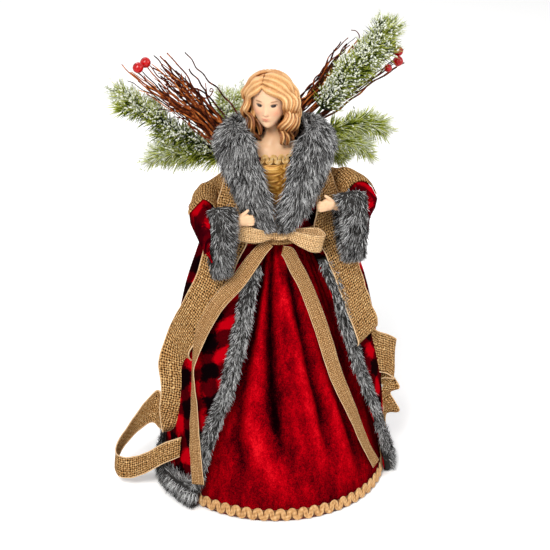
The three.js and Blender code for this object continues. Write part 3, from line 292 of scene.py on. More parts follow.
def strands(roots, ways, lengths, widths, bends, tones, rise):
    """Three-sided tapering hairs: points, quads, triangles and tones."""
    n, segments = len(roots), 3
    t = np.linspace(0, 1, segments + 1)
    lengths, widths = np.broadcast_to(lengths, n), np.broadcast_to(widths, n)
    line = roots[:, None] + ways[:, None] * (lengths[:, None] * t)[..., None]
    line = line + bends[:, None] * (t**2)[None, :, None]
    way = unit(np.gradient(line, axis=1))
    ref = unit(np.cross(way, np.array([0.31, 0.52, 0.79])))
    other = np.cross(way, ref)
    rings = []
    for k in range(segments):
        radius = widths * (1 - 0.75 * (t[k] ** 1.5)) / 2
        for turn in np.arange(3) * 2 * math.pi / 3:
            aside = ref[:, k] * math.cos(turn) + other[:, k] * math.sin(turn)
            rings.append(line[:, k] + aside * radius[:, None])
    rings.append(line[:, segments])
    sides = [(i, (i + 1) % 3) for i in range(3)]
    starts = [3 * k for k in range(segments - 1)]
    walls = [[k + i, k + j, k + 3 + j, k + 3 + i] for k in starts for i, j in sides]
    last, tip = 3 * (segments - 1), 3 * segments
    fans = [[last + i, last + j, tip] for i, j in sides] + [[0, 2, 1]]
    base = (np.arange(n) * (tip + 1))[:, None]
    quads = np.concatenate([base + np.array(wall) for wall in walls])
    triangles = np.concatenate([base + np.array(fan) for fan in fans])
    share = np.concatenate([np.repeat(t[:-1], 3), [1.0]])
    tone = np.asarray(tones)[:, None] + np.broadcast_to(rise, n)[:, None] * (share[None] - 0.4)
    return np.stack(rings, 1).reshape(-1, 3), quads, triangles, tone.ravel()


# Materials
class Net:
    """Short way to lay out a material's nodes."""

    def __init__(self, name, roughness=0.8, **sockets):
        self.material = bpy.data.materials.new(name)
        self.material.use_nodes = True
        self.tree = self.material.node_tree
        self.shader = self.tree.nodes["Principled BSDF"]
        self.shader.inputs["Roughness"].default_value = roughness
        self.shader.inputs["Specular IOR Level"].default_value = 0.12
        for key, value in sockets.items():
            self.shader.inputs[key.replace("_", " ")].default_value = value

    def node(self, kind, **settings):
        made = self.tree.nodes.new(kind)
        for key, value in settings.items():
            setattr(made, key, value)
        return made

    def put(self, value, socket):
        if isinstance(value, bpy.types.NodeSocket):
            self.tree.links.new(value, socket)
        elif isinstance(value, (tuple, list)) and len(value) == 3 and socket.type == "RGBA":
            socket.default_value = (*value, 1)
        else:
            socket.default_value = value

    def math(self, operation, a, b=0.5, c=0.5):
        made = self.node("ShaderNodeMath", operation=operation)
        for value, socket in zip((a, b, c), made.inputs):
            self.put(value, socket)
        return made.outputs[0]

    def vary(self, value, noise, amount):
        """The value, moved up and down by a noise."""
        return self.math("MULTIPLY_ADD", self.math("SUBTRACT", noise, 0.5), amount, value)

    def mix(self, share, a, b):
        made = self.node("ShaderNodeMix", data_type="RGBA")
        self.put(share, made.inputs[0])
        self.put(a, made.inputs[6])
        self.put(b, made.inputs[7])
        return made.outputs[2]

    def place(self, uv=False, scale=(1, 1, 1), turn=0.0):
        source = self.node("ShaderNodeTexCoord").outputs["UV" if uv else "Object"]
        mapping = self.node("ShaderNodeMapping")
        self.tree.links.new(source, mapping.inputs[0])
        mapping.inputs["Scale"].default_value = scale
        mapping.inputs["Rotation"].default_value = (0, 0, turn)
        return mapping.outputs[0]

    def noise(self, place, scale, detail=3.0, roughness=0.55):
        made = self.node("ShaderNodeTexNoise")
        self.tree.links.new(place, made.inputs["Vector"])
        made.inputs["Scale"].default_value = scale
        made.inputs["Detail"].default_value = detail
        made.inputs["Roughness"].default_value = roughness
        return made.outputs["Fac"]

    def ramp(self, share, stops):
        made = self.node("ShaderNodeValToRGB")
        self.put(share, made.inputs[0])
        elements = made.color_ramp.elements
        while len(elements) < len(stops):
            elements.new(0.5)
        for element, (place, colour) in zip(elements, stops):
            element.position, element.color = place, (*srgb(colour), 1)
        return made.outputs[0]

    def spread(self, share, low, high):
        made = self.node("ShaderNodeMapRange")
        made.inputs[1].default_value, made.inputs[2].default_value = low, high
        self.put(share, made.inputs[0])
        return made.outputs[0]

    def attribute(self, name, output="Fac"):
        return self.node("ShaderNodeAttribute", attribute_name=name).outputs[output]

    def split(self, vector):
        made = self.node("ShaderNodeSeparateXYZ")
        self.tree.links.new(vector, made.inputs[0])
        return made.outputs

    def finish(self, colour, height, depth, strength):
        self.put(colour, self.shader.inputs["Base Color"])
        bump = self.node("ShaderNodeBump")
        bump.inputs["Strength"].default_value = strength
        bump.inputs["Distance"].default_value = depth
        self.put(height, bump.inputs["Height"])
        self.tree.links.new(bump.outputs[0], self.shader.inputs["Normal"])
        return self.material


def srgb(colour):
    """Colour in steps of 0 to 255 as a linear one."""
    shares = [c / 255 for c in colour]
    return tuple(c / 12.92 if c <= 0.04045 else ((c + 0.055) / 1.055) ** 2.4 for c in shares)


def weave_material(name, colours, pitch, open_share, drawn=0.0):
    """Plain weave: threads over and under at a pitch in millimetres, with holes between them. Painted shade
    makes the holes the darkest colour, and painted light makes the threads lighter where they cross on top.
    """
    net = Net(name, 0.9)
    hole_shade, dark, mid, light = colours
    place = net.place(uv=True)
    u, v, _ = net.split(place)
    wobble = net.noise(place, 0.22, 2)
    sway = net.noise(net.place(uv=True, scale=(0.31, 0.27, 1)), 1.0, 2)
    u2 = net.math("MULTIPLY_ADD", wobble, 1.6 * pitch, u)
    v2 = net.math("MULTIPLY_ADD", sway, 1.6 * pitch, v)
    wave_u = net.math("SINE", net.math("MULTIPLY", u2, math.pi / pitch))
    wave_v = net.math("SINE", net.math("MULTIPLY", v2, math.pi / pitch))
    thread_u, thread_v = net.math("ABSOLUTE", wave_u), net.math("ABSOLUTE", wave_v)
    over = net.math("MULTIPLY", wave_u, wave_v)
    knot = net.math("MULTIPLY", thread_u, thread_v)
    body = net.vary(net.math("MAXIMUM", thread_u, thread_v), net.noise(place, 2.4, 2, 0.7), 0.3)
    # Painted light: the threads are lighter where they cross on top
    shade = net.math("MULTIPLY_ADD", knot, 0.55, net.math("MULTIPLY", over, 0.12))
    slub_u = net.noise(net.place(uv=True, scale=(0.9, 0.05, 1)), 1.0, 3)
    slub_v = net.noise(net.place(uv=True, scale=(0.05, 0.9, 1)), 1.0, 3)
    slub = net.math("MULTIPLY_ADD", net.math("ADD", slub_u, slub_v), 0.9, -0.72)
    cloth = net.ramp(net.math("ADD", shade, slub), [(0.0, dark), (0.42, mid), (0.95, light)])
    gap = net.spread(body, open_share, open_share + 0.25)
    # Painted shade: the holes take the darkest colour
    cloth = net.mix(gap, srgb(hole_shade), cloth)
    if drawn:
        beside = net.math("SUBTRACT", net.math("ABSOLUTE", u), drawn)
        line = net.math("LESS_THAN", net.math("ABSOLUTE", beside), 0.5)
        dashes = net.math("MULTIPLY", line, net.spread(wave_v, -0.1, 0.5))
        cloth = net.mix(net.math("MULTIPLY", dashes, 0.4), cloth, srgb(hole_shade))
    height = net.math("MULTIPLY", net.math("MULTIPLY_ADD", over, 0.3, body), gap)
    return net.finish(cloth, height, pitch * 0.0004, 0.8)


def fur_material():
    """Each hair's own tone, with a fine grain over it."""
    net = Net("grey_fur", 0.6, Specular_IOR_Level=0.2)
    fine = net.noise(net.place(), 900, 2)
    stops = [
        (0.0, (14, 13, 12)), (0.3, (52, 49, 47)), (0.5, (106, 104, 102)),
        (0.72, (180, 180, 180)), (1.0, (242, 242, 242)),
    ]
    return net.finish(net.ramp(net.vary(net.attribute("tone"), fine, 0.2), stops), fine, 0.0003, 0.4)


def velvet_material():
    """Short crushed pile: painted shade nearly black where a fold turns in, painted highlight on its crown,
    with fine painted glints.
    """
    sheen = {"Sheen_Weight": 0.03, "Sheen_Roughness": 0.4, "Sheen_Tint": (1, 0.05, 0.06, 1)}
    net = Net("red_velvet", 0.7, Specular_IOR_Level=0.0, **sheen)
    patch = net.noise(net.place(scale=(1, 1, 0.35)), 80, 4, 0.62)
    grain = net.noise(net.place(scale=(1, 1, 0.7)), 420, 3, 0.7)
    # Painted glints: fine bright specks over the pile
    painted_glint = net.noise(net.place(), 1150, 2, 0.75)
    amount = net.vary(net.attribute("tone"), patch, 0.8)
    amount = net.vary(net.vary(amount, grain, 0.6), painted_glint, 1.1)
    stops = [
        (0.0, (12, 0, 2)), (0.22, (50, 0, 6)), (0.48, (118, 0, 9)),
        (0.74, (178, 0, 14)), (1.0, (224, 20, 32)),
    ]
    height = net.math("MULTIPLY_ADD", grain, 1.0, net.math("MULTIPLY", painted_glint, 0.5))
    return net.finish(net.ramp(amount, stops), height, 0.0009, 0.6)


def check_material(name, size, turn, black, deep):
    """Buffalo check in plush cloth: red, black and the half tone where one crosses the other."""
    sheen = {"Sheen_Weight": 0.02, "Sheen_Roughness": 0.4, "Sheen_Tint": (1, 0.1, 0.1, 1)}
    net = Net(name, 0.8, Specular_IOR_Level=0.0, **sheen)
    warp = net.noise(net.place(uv=True), 0.05, 2)
    other = net.noise(net.place(uv=True, turn=1.0), 0.06, 2)
    u, v, _ = net.split(net.place(uv=True, turn=turn))
    u = net.math("MULTIPLY_ADD", warp, 1.3 * size, u)
    v = net.math("MULTIPLY_ADD", other, 1.3 * size, v)
    edge = net.noise(net.place(uv=True), 0.45, 3)

    def bands(value):
        wave = net.math("SINE", net.math("MULTIPLY", value, math.pi / size))
        return net.spread(net.vary(wave, edge, 1.3), -0.45, 0.5)

    both = net.math("MULTIPLY", net.math("ADD", bands(u), bands(v)), 0.5)
    pile = net.noise(net.place(), 700, 3, 0.7)
    patch = net.noise(net.place(scale=(1, 1, 0.6)), 60, 4, 0.6)
    shade = net.vary(net.vary(both, pile, 0.3), patch, 0.35)
    stops = [
        (0.06, black), (0.36, deep), (0.56, (84, 0, 8)), (0.74, (138, 0, 10)), (0.95, (184, 0, 16)),
    ]
    return net.finish(net.ramp(shade, stops), pile, 0.0006, 0.6)


def bisque_material():
    """Painted colour under a thin waxy coat."""
    net = Net("bisque", 0.42, Specular_IOR_Level=0.4, Subsurface_Weight=0.12, Subsurface_Scale=0.002)
    paint = net.attribute("paint", "Color")
    mottle = net.spread(net.noise(net.place(), 260, 3), 0.35, 0.75)
    colour = net.mix(mottle, paint, net.mix(0.93, srgb((190, 120, 80)), paint))
    return net.finish(colour, net.noise(net.place(), 900, 2), 0.00008, 0.3)


def painted_material(name, stops, roughness, scale, depth, metal=0.0, **sockets):
    """Colour by the height of the relief, with a mottle over it; on the hair the tone also holds painted
    light and shade.
    """
    net = Net(name, roughness, Metallic=metal, **sockets)
    mottle = net.noise(net.place(), scale, 4, 0.6)
    tone = net.vary(net.attribute("tone"), mottle, 0.5)
    return net.finish(net.ramp(tone, stops), mottle, depth, 0.6)


def plain_material(name, dark, light, roughness, scale, depth=0.0003, stretch=(1, 1, 1), **sockets):
    """Two colours in a grain."""
    net = Net(name, roughness, **sockets)
    grain = net.noise(net.place(scale=stretch), scale, 5, 0.62)
    colour = net.mix(net.spread(grain, 0.3, 0.72), srgb(dark), srgb(light))
    return net.finish(colour, grain, depth, 0.6)


fur = fur_material()
red_velvet = velvet_material()
check_velvet = check_material("check_velvet", 15.0, 0.55, (10, 3, 5), (22, 2, 5))
sleeve_velvet = check_material("sleeve_velvet", 24.0, 0.5, (40, 0, 6), (62, 0, 8))
burlap_colours = [(34, 16, 5), (120, 76, 34), (184, 134, 78), (246, 208, 148)]
ribbon_colours = [(72, 42, 18), (130, 88, 46), (178, 132, 82), (232, 194, 144)]
# The bow's loops and knot take a lighter copy of the ribbon's colours than its tails and the waist ribbon:
# painted light on the bow
bow_lit_colours = [(104, 66, 32), (178, 132, 82), (226, 182, 128), (255, 226, 180)]
burlap = weave_material("burlap", burlap_colours, 2.3, 0.6)
fine_ribbon = weave_material("fine_ribbon", ribbon_colours, 1.5, 0.5, drawn=2.6)
lit_bow_ribbon = weave_material("lit_bow_ribbon", bow_lit_colours, 1.5, 0.5, drawn=2.6)
bisque = bisque_material()
brocade_tones = [(0.0, (104, 58, 8)), (0.35, (176, 116, 36)), (0.6, (222, 164, 72)), (1.0, (255, 222, 140))]
braid_tones = [(0.0, (120, 74, 26)), (0.4, (206, 156, 84)), (0.7, (238, 196, 128)), (1.0, (255, 228, 176))]
gimp_tones = [(0.0, (92, 54, 24)), (0.4, (186, 132, 76)), (0.7, (222, 174, 116)), (1.0, (248, 212, 160))]
thread_tones = [(0.0, (150, 106, 62)), (0.5, (212, 172, 124)), (1.0, (240, 208, 168))]
hair_tones = [
    (0.0, (96, 48, 18)), (0.26, (156, 94, 46)), (0.5, (206, 148, 90)), (0.76, (238, 190, 132)),
    (1.0, (252, 216, 164)),
]
twig_tones = [(0.0, (40, 12, 6)), (0.35, (104, 42, 18)), (0.65, (178, 92, 38)), (1.0, (230, 156, 90))]
pine_tones = [
    (0.0, (24, 34, 10)), (0.2, (58, 74, 22)), (0.42, (140, 154, 42)), (0.6, (206, 212, 92)),
    (0.76, (222, 228, 200)), (1.0, (250, 252, 246)),
]
gold_brocade = painted_material("gold_brocade", brocade_tones, 0.4, 1500, 0.0003, 0.2, Specular_IOR_Level=0.5)
gold_braid = painted_material("gold_braid", braid_tones, 0.6, 1600, 0.0003, Sheen_Weight=0.2)
hem_gimp = painted_material("hem_braid", gimp_tones, 0.7, 1500, 0.0004, Sheen_Weight=0.2)
edge_thread = painted_material("edge_thread", thread_tones, 0.8, 900, 0.0003)
hair_paint = painted_material("hair_paint", hair_tones, 0.42, 900, 0.0001, Specular_IOR_Level=0.4)
twig_wood = painted_material("twig_wood", twig_tones, 0.8, 700, 0.0005)
pine_plastic = painted_material("pine_plastic", pine_tones, 0.55, 1200, 0.0002)
gloss = {"Specular_IOR_Level": 0.4}
berry_gloss = plain_material("berry_gloss", (160, 0, 6), (206, 2, 10), 0.22, 260, 0.0001, **gloss)
block_wood = plain_material("block_wood", (122, 84, 48), (190, 148, 100), 0.75, 90, 0.0003, (0.15, 1, 1))
card = plain_material("card", (168, 142, 108), (205, 182, 148), 0.9, 300)
padding = plain_material("padding", (204, 192, 172), (236, 228, 212), 0.95, 240, 0.001)


def dress(obj, material, body, slot, *replaced):
    obj.data.materials.append(material)
    if body:
        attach(obj, body)
    if replaced:
        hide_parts(*replaced)


for node, material in (("base_cone", card), ("wing_block", block_wood)):
    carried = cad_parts[node]
    carried.data.materials.clear()
    carried.data.materials.append(material)

# Camera at the photograph's viewpoint, in millimetres and pixels
camera_away, camera_up = 1327, 796
camera_turn, camera_pitch = -13 * degrees, 24.5 * degrees
focal_pixels, photo_pixels, sensor = 1660, 550, 36
camera = link("camera", bpy.data.cameras.new("camera"))
bpy.context.scene.camera = camera
aside, ahead, flat = math.sin(camera_turn), math.cos(camera_turn), math.cos(camera_pitch)
camera.location = figure([camera_away * aside, -camera_away * ahead, camera_up])
look = Vector((-aside * flat, ahead * flat, -math.sin(camera_pitch)))
camera.rotation_euler = look.to_track_quat("-Z", "Y").to_euler()
camera.data.sensor_width = sensor
camera.data.lens = focal_pixels / photo_pixels * sensor
camera.data.clip_start = 0.05
bpy.context.scene.view_settings.view_transform = "Standard"


# Soft studio light and pale floor, in metres and watts
def lamp(name, place, target, size, power, colour):
    data = bpy.data.lights.new(name, "AREA")
    data.shape, data.size, data.energy, data.color = "DISK", size, power, colour
    obj = link(name, data)
    obj.location = place
    obj.rotation_euler = (Vector(target) - Vector(place)).to_track_quat("-Z", "Y").to_euler()


def by_ray(tree, rays, low, high):
    """High for the named kinds of ray, low for the others."""
    path, value = tree.nodes.new("ShaderNodeLightPath"), tree.nodes.new("ShaderNodeMapRange")
    seen = path.outputs[rays[0]]
    for ray in rays[1:]:
        either = tree.nodes.new("ShaderNodeMath")
        either.operation = "MAXIMUM"
        tree.links.new(seen, either.inputs[0])
        tree.links.new(path.outputs[ray], either.inputs[1])
        seen = either.outputs[0]
    value.inputs["To Min"].default_value, value.inputs["To Max"].default_value = low, high
    tree.links.new(seen, value.inputs["Value"])
    return value.outputs[0]


lamp("key", (-0.75, -1.35, 1.6), (0, 0, 0.2), 0.7, 31, (1, 0.985, 0.96))
lamp("fill", (1.5, -1.2, 1.0), (0, 0, 0.2), 1.4, 14, (1, 1, 1))
lamp("rim", (-0.3, 1.4, 1.5), (0, 0, 0.25), 1.0, 9, (1, 1, 1))
world = bpy.data.worlds.new("studio")
bpy.context.scene.world = world
world.use_nodes = True
background = world.node_tree.nodes["Background"]
background.inputs["Color"].default_value = (1, 1, 1, 1)
strength = by_ray(world.node_tree, ("Is Camera Ray", "Is Glossy Ray"), 0.5, 1.0)
world.node_tree.links.new(strength, background.inputs["Strength"])

floor_half, floor_level = 6, -0.0004
floor_mesh = bpy.data.meshes.new("floor")
corners = [(x * floor_half, y * floor_half, floor_level) for x, y in ((-1, -1), (1, -1), (1, 1), (-1, 1))]
floor_mesh.from_pydata(corners, [], [(0, 1, 2, 3)])
floor = link("floor", floor_mesh)
floor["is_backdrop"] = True
floor_material = bpy.data.materials.new("floor")
floor_material.use_nodes = True
tree = floor_material.node_tree
tree.nodes.clear()
diffuse, out = tree.nodes.new("ShaderNodeBsdfDiffuse"), tree.nodes.new("ShaderNodeOutputMaterial")
tree.links.new(by_ray(tree, ("Is Camera Ray",), 0.8, 1.25), diffuse.inputs["Color"])
tree.links.new(diffuse.outputs[0], out.inputs["Surface"])
floor.data.materials.append(floor_material)

# Shape of the figure, from the same tables as the frame. Lengths are in millimetres. A level is 0 at the
# floor, 1 at the waist and 2 at the collar.
waist, bust, arm_span, ribbon, head_size = 233.0, 76.0, 50.0, 100.0, 43.0
hem_radius, waist_radius, torso_half, coat_ease = 98.0, 22.2, 33, 38
skirt_flare = hem_radius - waist_radius
skirt_swell, cloth, side_wide = 2.6, 0.8, 38
up = np.array([0, 0, 1.0])
skirt_shares = [
    [0, 1], [0.215, 0.875], [0.43, 0.717], [0.644, 0.513], [0.858, 0.263], [0.966, 0.092], [1.066, 0],
]
torso_shares = [
    [1, 0.64, 0.64], [1.09, 0.64, 0.635], [1.38, 0.73, 0.66], [1.68, 0.94, 0.76], [1.855, 1, 0.7],
    [1.96, 0.85, 0.6], [2.04, 0.67, 0.455], [2.12, 0.4, 0.34], [2.2, 0.235, 0.24], [2.34, 0.21, 0.225],
]
coat_shares = [
    [0.004, 0.092, 0.092, 0.092], [0.12, 0.19, 0.12, 0.17], [0.3, 0.35, 0.2, 0.25],
    [0.5, 0.56, 0.28, 0.36], [0.68, 0.76, 0.35, 0.46], [0.84, 0.9, 0.42, 0.5],
    [0.955, 0.957, 0.449, 0.543], [1, 0.98, 0.46, 0.56], [1.1, 0.98, 0.5, 0.54], [1.38, 0.68, 0.48, 0.42],
    [1.68, 0.34, 0.36, 0.2], [1.855, 0.25, 0.25, 0.13], [1.96, 0.14, 0.17, 0.1], [2, 0.1, 0.13, 0.09],
]
left_edge = [
    [0, -56], [0.23, -49], [0.36, -44], [0.5, -37], [0.69, -32], [0.83, -29], [1, -25], [1.2, -18],
    [1.6, -24], [2, -42],
]
right_edge = [
    [0, 69], [0.18, 60], [0.37, 50], [0.515, 42], [0.64, 38], [0.88, 36], [1, 30], [1.2, 6], [1.6, 2],
    [2, 18],
]
skirt_at = smooth_table(skirt_shares, 1)
torso_wide, torso_deep = smooth_table(torso_shares, 1, 0.025), smooth_table(torso_shares, 2, 0.025)
coat_side, coat_front, coat_back = (smooth_table(coat_shares, k) for k in (1, 2, 3))
left_at, right_at = smooth_table(left_edge, 1), smooth_table(right_edge, 1)


def height_at(level):
    level = np.asarray(level, float)
    return np.where(level <= 1, level * waist, waist + (level - 1) * bust)


def level_at(height):
    height = np.asarray(height, float)
    return np.where(height <= waist, height / waist, 1 + (height - waist) / bust)


def polar(azimuth, radius, height):
    turn = np.asarray(azimuth) * degrees
    x, y, z = np.broadcast_arrays(radius * np.sin(turn), -radius * np.cos(turn), height)
    return np.stack([x, y, z], -1).astype(float)


def swell(level, low, high):
    part = (np.asarray(level) - low) / (high - low)
    return np.where((part > 0) & (part < 1), np.sin(math.pi * np.clip(part, 0, 1)), 0.0)


def cone_radius(level):
    return waist_radius + skirt_at(level) * skirt_flare


def skirt_wave(azimuth, level):
    """The broad folds that the skirt's solid has."""
    turn = azimuth * degrees
    return skirt_swell * swell(level, 0.05, 1) * (0.75 * np.cos(10 * turn) + 0.25 * np.cos(7 * turn + 1))


def skirt_radius(azimuth, level):
    return cone_radius(level) + skirt_wave(azimuth, level)


def torso_radius(azimuth, level):
    turn = azimuth * degrees
    wide, deep = torso_wide(level) * torso_half, torso_deep(level) * torso_half
    return 1 / np.hypot(np.sin(turn) / wide, np.cos(turn) / deep)


def coat_radius(azimuth, level):
    azimuth = np.where(np.asarray(azimuth) < -180, np.asarray(azimuth) + 360, azimuth)
    turn = azimuth * degrees
    base = cone_radius(np.minimum(level, 1))
    rise = np.clip((level - 1) / 0.1, 0, 1)
    base = np.where(level < 1, base, torso_radius(azimuth, np.maximum(level, 1.1)) * rise + base * (1 - rise))
    forward = np.clip(np.cos(turn) * 6 + 0.5, 0, 1)
    ends = coat_front(level) * forward + coat_back(level) * (1 - forward)
    ease = ends + (coat_side(level) - ends) * np.sin(turn) ** 4
    away = np.clip((np.abs(azimuth) - 75) / 25, 0, 1)
    return base + ease * coat_ease + 2.2 * away * swell(level, 0.1, 1) * np.cos(9 * turn)


def coat_azimuth(along, level):
    left, right = left_at(level), right_at(level) - 360
    return left + along * (right - left)


def on_coat(azimuth, level, offset=0.0):
    return polar(azimuth, coat_radius(azimuth, level) + offset, height_at(level))


# Pile of fur: hairs spread over a grid of points, combed one way and drawn together in tufts
def pile_on(
    name, grid, normals, comb, count, length, lean, seed, light=0.42, spread=0.5, shares=1.0, closes=False
):
    """Length in millimetres, which the shares vary over the grid. Lean in degrees from the normals."""
    shares = np.broadcast_to(shares, grid.shape[:2])
    if closes:
        grid, normals, comb = (np.concatenate([g, g[:, :1]], 1) for g in (grid, normals, comb))
        shares = np.concatenate([shares, shares[:, :1]], 1)
    rng = np.random.default_rng(seed)
    a = grid[:-1, :-1]
    area = np.linalg.norm(np.cross(grid[1:, :-1] - a, grid[:-1, 1:] - a), axis=2)
    cells = rng.choice(area.size, count, p=area.ravel() / area.sum())
    j, i = cells // area.shape[1], cells % area.shape[1]
    s, t = rng.random((count, 1)), rng.random((count, 1))

    def at(g):
        near = g[j, i] * (1 - s) * (1 - t) + g[j, i + 1] * s * (1 - t)
        return near + g[j + 1, i] * (1 - s) * t + g[j + 1, i + 1] * s * t

    def along(vectors, way):
        return np.einsum("ij,ij->i", vectors, way)

    roots, out, down = at(grid), unit(at(normals)), unit(at(comb))
    aside = unit(np.cross(out, down))
    swing = ripple(roots, 26, seed, 4)[:, None] * 0.55 + ripple(roots, 9, seed + 1, 4)[:, None] * 0.3
    leans = (lean + 9 * ripple(roots, 14, seed + 2))[:, None] * degrees
    ways = out * np.cos(leans) + (down + aside * swing) * np.sin(leans)
    ways = ways + rng.normal(size=(count, 3)) * spread * 0.42
    ways = unit(ways - np.minimum(along(ways, out), 0)[:, None] * out + out * 0.1)
    lengths = length * rng.uniform(0.55, 1.15, count) * at(shares[..., None])[:, 0]
    bends = down * (lengths * 0.2)[:, None] - out * (lengths * 0.12)[:, None]
    bends = bends + rng.normal(size=(count, 3)) * 0.5

    # No hair reaches through the floor
    reach = ways[:, 2] * lengths + bends[:, 2]
    allowed = np.clip((roots[:, 2] - 0.5) / np.maximum(-reach, 1e-3), 0, 1)
    ways[:, 2] *= allowed
    bends[:, 2] *= allowed

    streak = np.stack([along(roots, aside), along(roots, down) / 4, 0 * leans[:, 0]], -1)
    tone = light + ripple(roots, 22, seed + 9) * 0.12 + ripple(streak, 4, seed + 10) * 0.4
    tone = tone + rng.normal(size=count) * 0.24
    kind = rng.random(count)
    tone = tone + np.where(kind < 0.36, -0.26, 0) + np.where(kind > 0.76, 0.36, 0)
    widths = 0.58 * rng.uniform(0.7, 1.35, count)
    p, q, f, shade = strands(roots - out * 0.6, ways, lengths, widths, bends, tone, rise=0.32)
    hairs = piece(name, p, q, f, tones=shade)
    dress(hairs, fur, None, "grey_fur")
    return hairs


def fur_piece(name, inner, top, comb, count, length, lean, seed, body, closes=False, **more):
    """Pad under the pile, in a dark tone as painted shade under the hairs, and the pile itself."""
    out = grid_normals(top, closes)
    if np.einsum("ijk,ijk->ij", out, top - inner).mean() < 0:
        out = -out
    # Painted shade: the pad's dark tone stands for the shade under the hairs
    pad = shell(name, inner, top, closes, tones=np.full(top.shape[:2], 0.12))
    dress(pad, fur, body, "grey_fur", name)
    root = top - out * 0.3
    hairs = pile_on(name + "_pile", root, out, comb, count, length, lean, seed, closes=closes, **more)
    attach(hairs, body)


def row_grid(low, high, rows, cols, low_u=0.0, high_u=1.0, closed=False):
    v = np.linspace(low, high, rows)[:, None]
    u = np.linspace(low_u, high_u, cols + 1)[:-1] if closed else np.linspace(low_u, high_u, cols)
    return np.broadcast_arrays(u[None], v)


# Crushed velvet skirt, gathered at the waist
back_from, gather_count, ripple_count = 44, 31, 19
u, v = row_grid(0.0026, 1.06, 162, 288, 0, 360, closed=True)
turn = u * degrees
hidden = np.clip((np.abs((u + 177) % 360 - 180) - back_from) / 12, 0, 1)
bent = turn + 0.06 * np.sin(3 * turn + 4 * v) + 0.03 * np.sin(8 * v + 5 * turn)
near_waist = np.clip((v - 0.55) / 0.4, 0, 1) * (1 - np.clip((v - 0.99) / 0.07, 0, 1))
gathers = near_waist * np.cos(gather_count * bent)
sway = 0.9 * np.sin(2 * turn + 1) + 0.8 * np.sin(3.4 * v + 2 * turn)
wave = 0.5 + 0.5 * np.cos(ripple_count * bent + sway)
deep = np.clip((v - 0.1) / 0.25, 0, 1) * swell(v, -0.3, 1.02)
fold = 1.9 * deep * (2 * wave**0.65 - 1) * hidden

# Folds in front: level and azimuth down each, its half width in degrees and its height
front_folds = [
    ([[0.08, -8], [0.16, -13], [0.31, -25], [0.45, -29.5], [0.6, -26], [0.81, -23.5], [1.0, -22]], 6.5, 3.4),
    ([[0.22, -4], [0.31, -11], [0.46, -15], [0.7, -18.5], [0.84, -20], [1.0, -19]], 3.6, -6.5),
    ([[0.2, 15], [0.37, 12.5], [0.52, 7], [0.67, 5], [0.81, -3], [0.96, -11]], 5.0, 3.6),
    ([[0.24, 20], [0.4, 19], [0.52, 15], [0.7, 11], [0.9, 7]], 3.2, -5.0),
    ([[0.12, 33], [0.22, 31], [0.35, 27], [0.6, 23], [0.85, 18]], 5.0, 2.6),
    ([[0.15, -30], [0.3, -37], [0.6, -35], [0.9, -31]], 4.0, -3.6),
    ([[0.2, 3], [0.35, 0], [0.5, -5], [0.66, -8]], 3.4, 1.6),
    ([[0.12, 42], [0.3, 37], [0.6, 31], [0.9, 27]], 3.6, -3.6),
]
side_on = (u + 180) % 360 - 180
for line, half, rise in front_folds:
    levels, azimuths = np.array(line, float).T
    middle = np.interp(v, levels, azimuths)
    fades = np.clip((v - levels[0] + 0.04) / 0.16, 0, 1) * np.clip((1.03 - v) / 0.25, 0, 1)
    fold = fold + rise * fades * np.exp(-(((side_on - middle) / half) ** 2)) * (1 - hidden)
start = polar(u, skirt_radius(u, v), height_at(v))
broad, fine = start * np.array([1, 1, 0.45]), start * np.array([1, 1, 0.5])
crumple = 0.6 * ripple(broad, 24, 3) + 0.4 * ripple(fine, 9, 5)
room = np.clip(v / 0.06, 0.15, 1) * np.clip((1.03 - v) / 0.1, 0.1, 1)
shape = 0.7 * gathers + fold + crumple * room
flatter = skirt_swell * swell(v, 0.05, 1) * 0.7 * (1 - hidden)
skirt_grid = polar(u, skirt_radius(u, v) - flatter + shape, height_at(v))
# Painted light and shade: lighter on the crowns of the folds, gathers and crumples and darker in their
# valleys, also darker towards the hem and through the middle levels
fold_light_and_shade = 0.5 + np.where(fold > 0, 0.085, 0.075) * fold + 0.08 * gathers + 0.1 * crumple
fold_light_and_shade = fold_light_and_shade - 0.1 * np.clip((0.1 - v) / 0.1, 0, 1) - 0.09 * swell(v, 0.25, 1.1)
skirt = sheet_of("skirt", skirt_grid, cloth, True, tones=fold_light_and_shade)
dress(skirt, red_velvet, "figure", "red_velvet", "skirt")
declare(skirt_grid, True)

# Buffalo check coat
cu, cv = row_grid(0.004, 2.0, 150, 210)
coat_grid = on_coat(coat_azimuth(cu, cv), cv)
coat_wrinkle = 0.35 * ripple(coat_grid, 24, 11) * np.clip(cv / 0.1, 0, 1) * np.clip((2 - cv) / 0.2, 0, 1)
coat_grid = on_coat(coat_azimuth(cu, cv), cv, coat_wrinkle)
coat = sheet_of("coat", coat_grid, cloth)
dress(coat, check_velvet, "figure", "check_velvet", "coat")
declare(coat_grid)

# Padded torso under the clothes
tu, tv = row_grid(1.0, 1.86, 40, 72, 0, 360, closed=True)
seams = 0.5 * np.exp(-((np.abs((tu % 90) - 45) / 3) ** 2))
ends = np.array([[0, 0, waist], [0, 0, height_at(1.86)]])
torso_body = ring_body(polar(tu, torso_radius(tu, tv) - seams, height_at(tv)), ends=ends)
torso = piece("torso_padding", *torso_body)
dress(torso, padding, "figure", "padding", "torso_form")

# Brocade bodice: leaf scrolls raised on a ribbed ground
bu, bv = row_grid(1.1, 1.96, 110, 300, 0, 360, closed=True)
arc, rise = torso_radius(bu, bv) * bu * degrees, height_at(bv)


def scroll(s, z, pitch):
    a, b = s / pitch * 2 * math.pi, z / pitch * 2 * math.pi
    leaf = np.sin(a + 1.6 * np.sin(b)) * np.cos(b + 1.2 * np.sin(a))
    return np.clip(leaf * 1.6, -0.6, 1) + 0.5 * np.cos(2.1 * a + 2.4 * np.cos(1.3 * b))


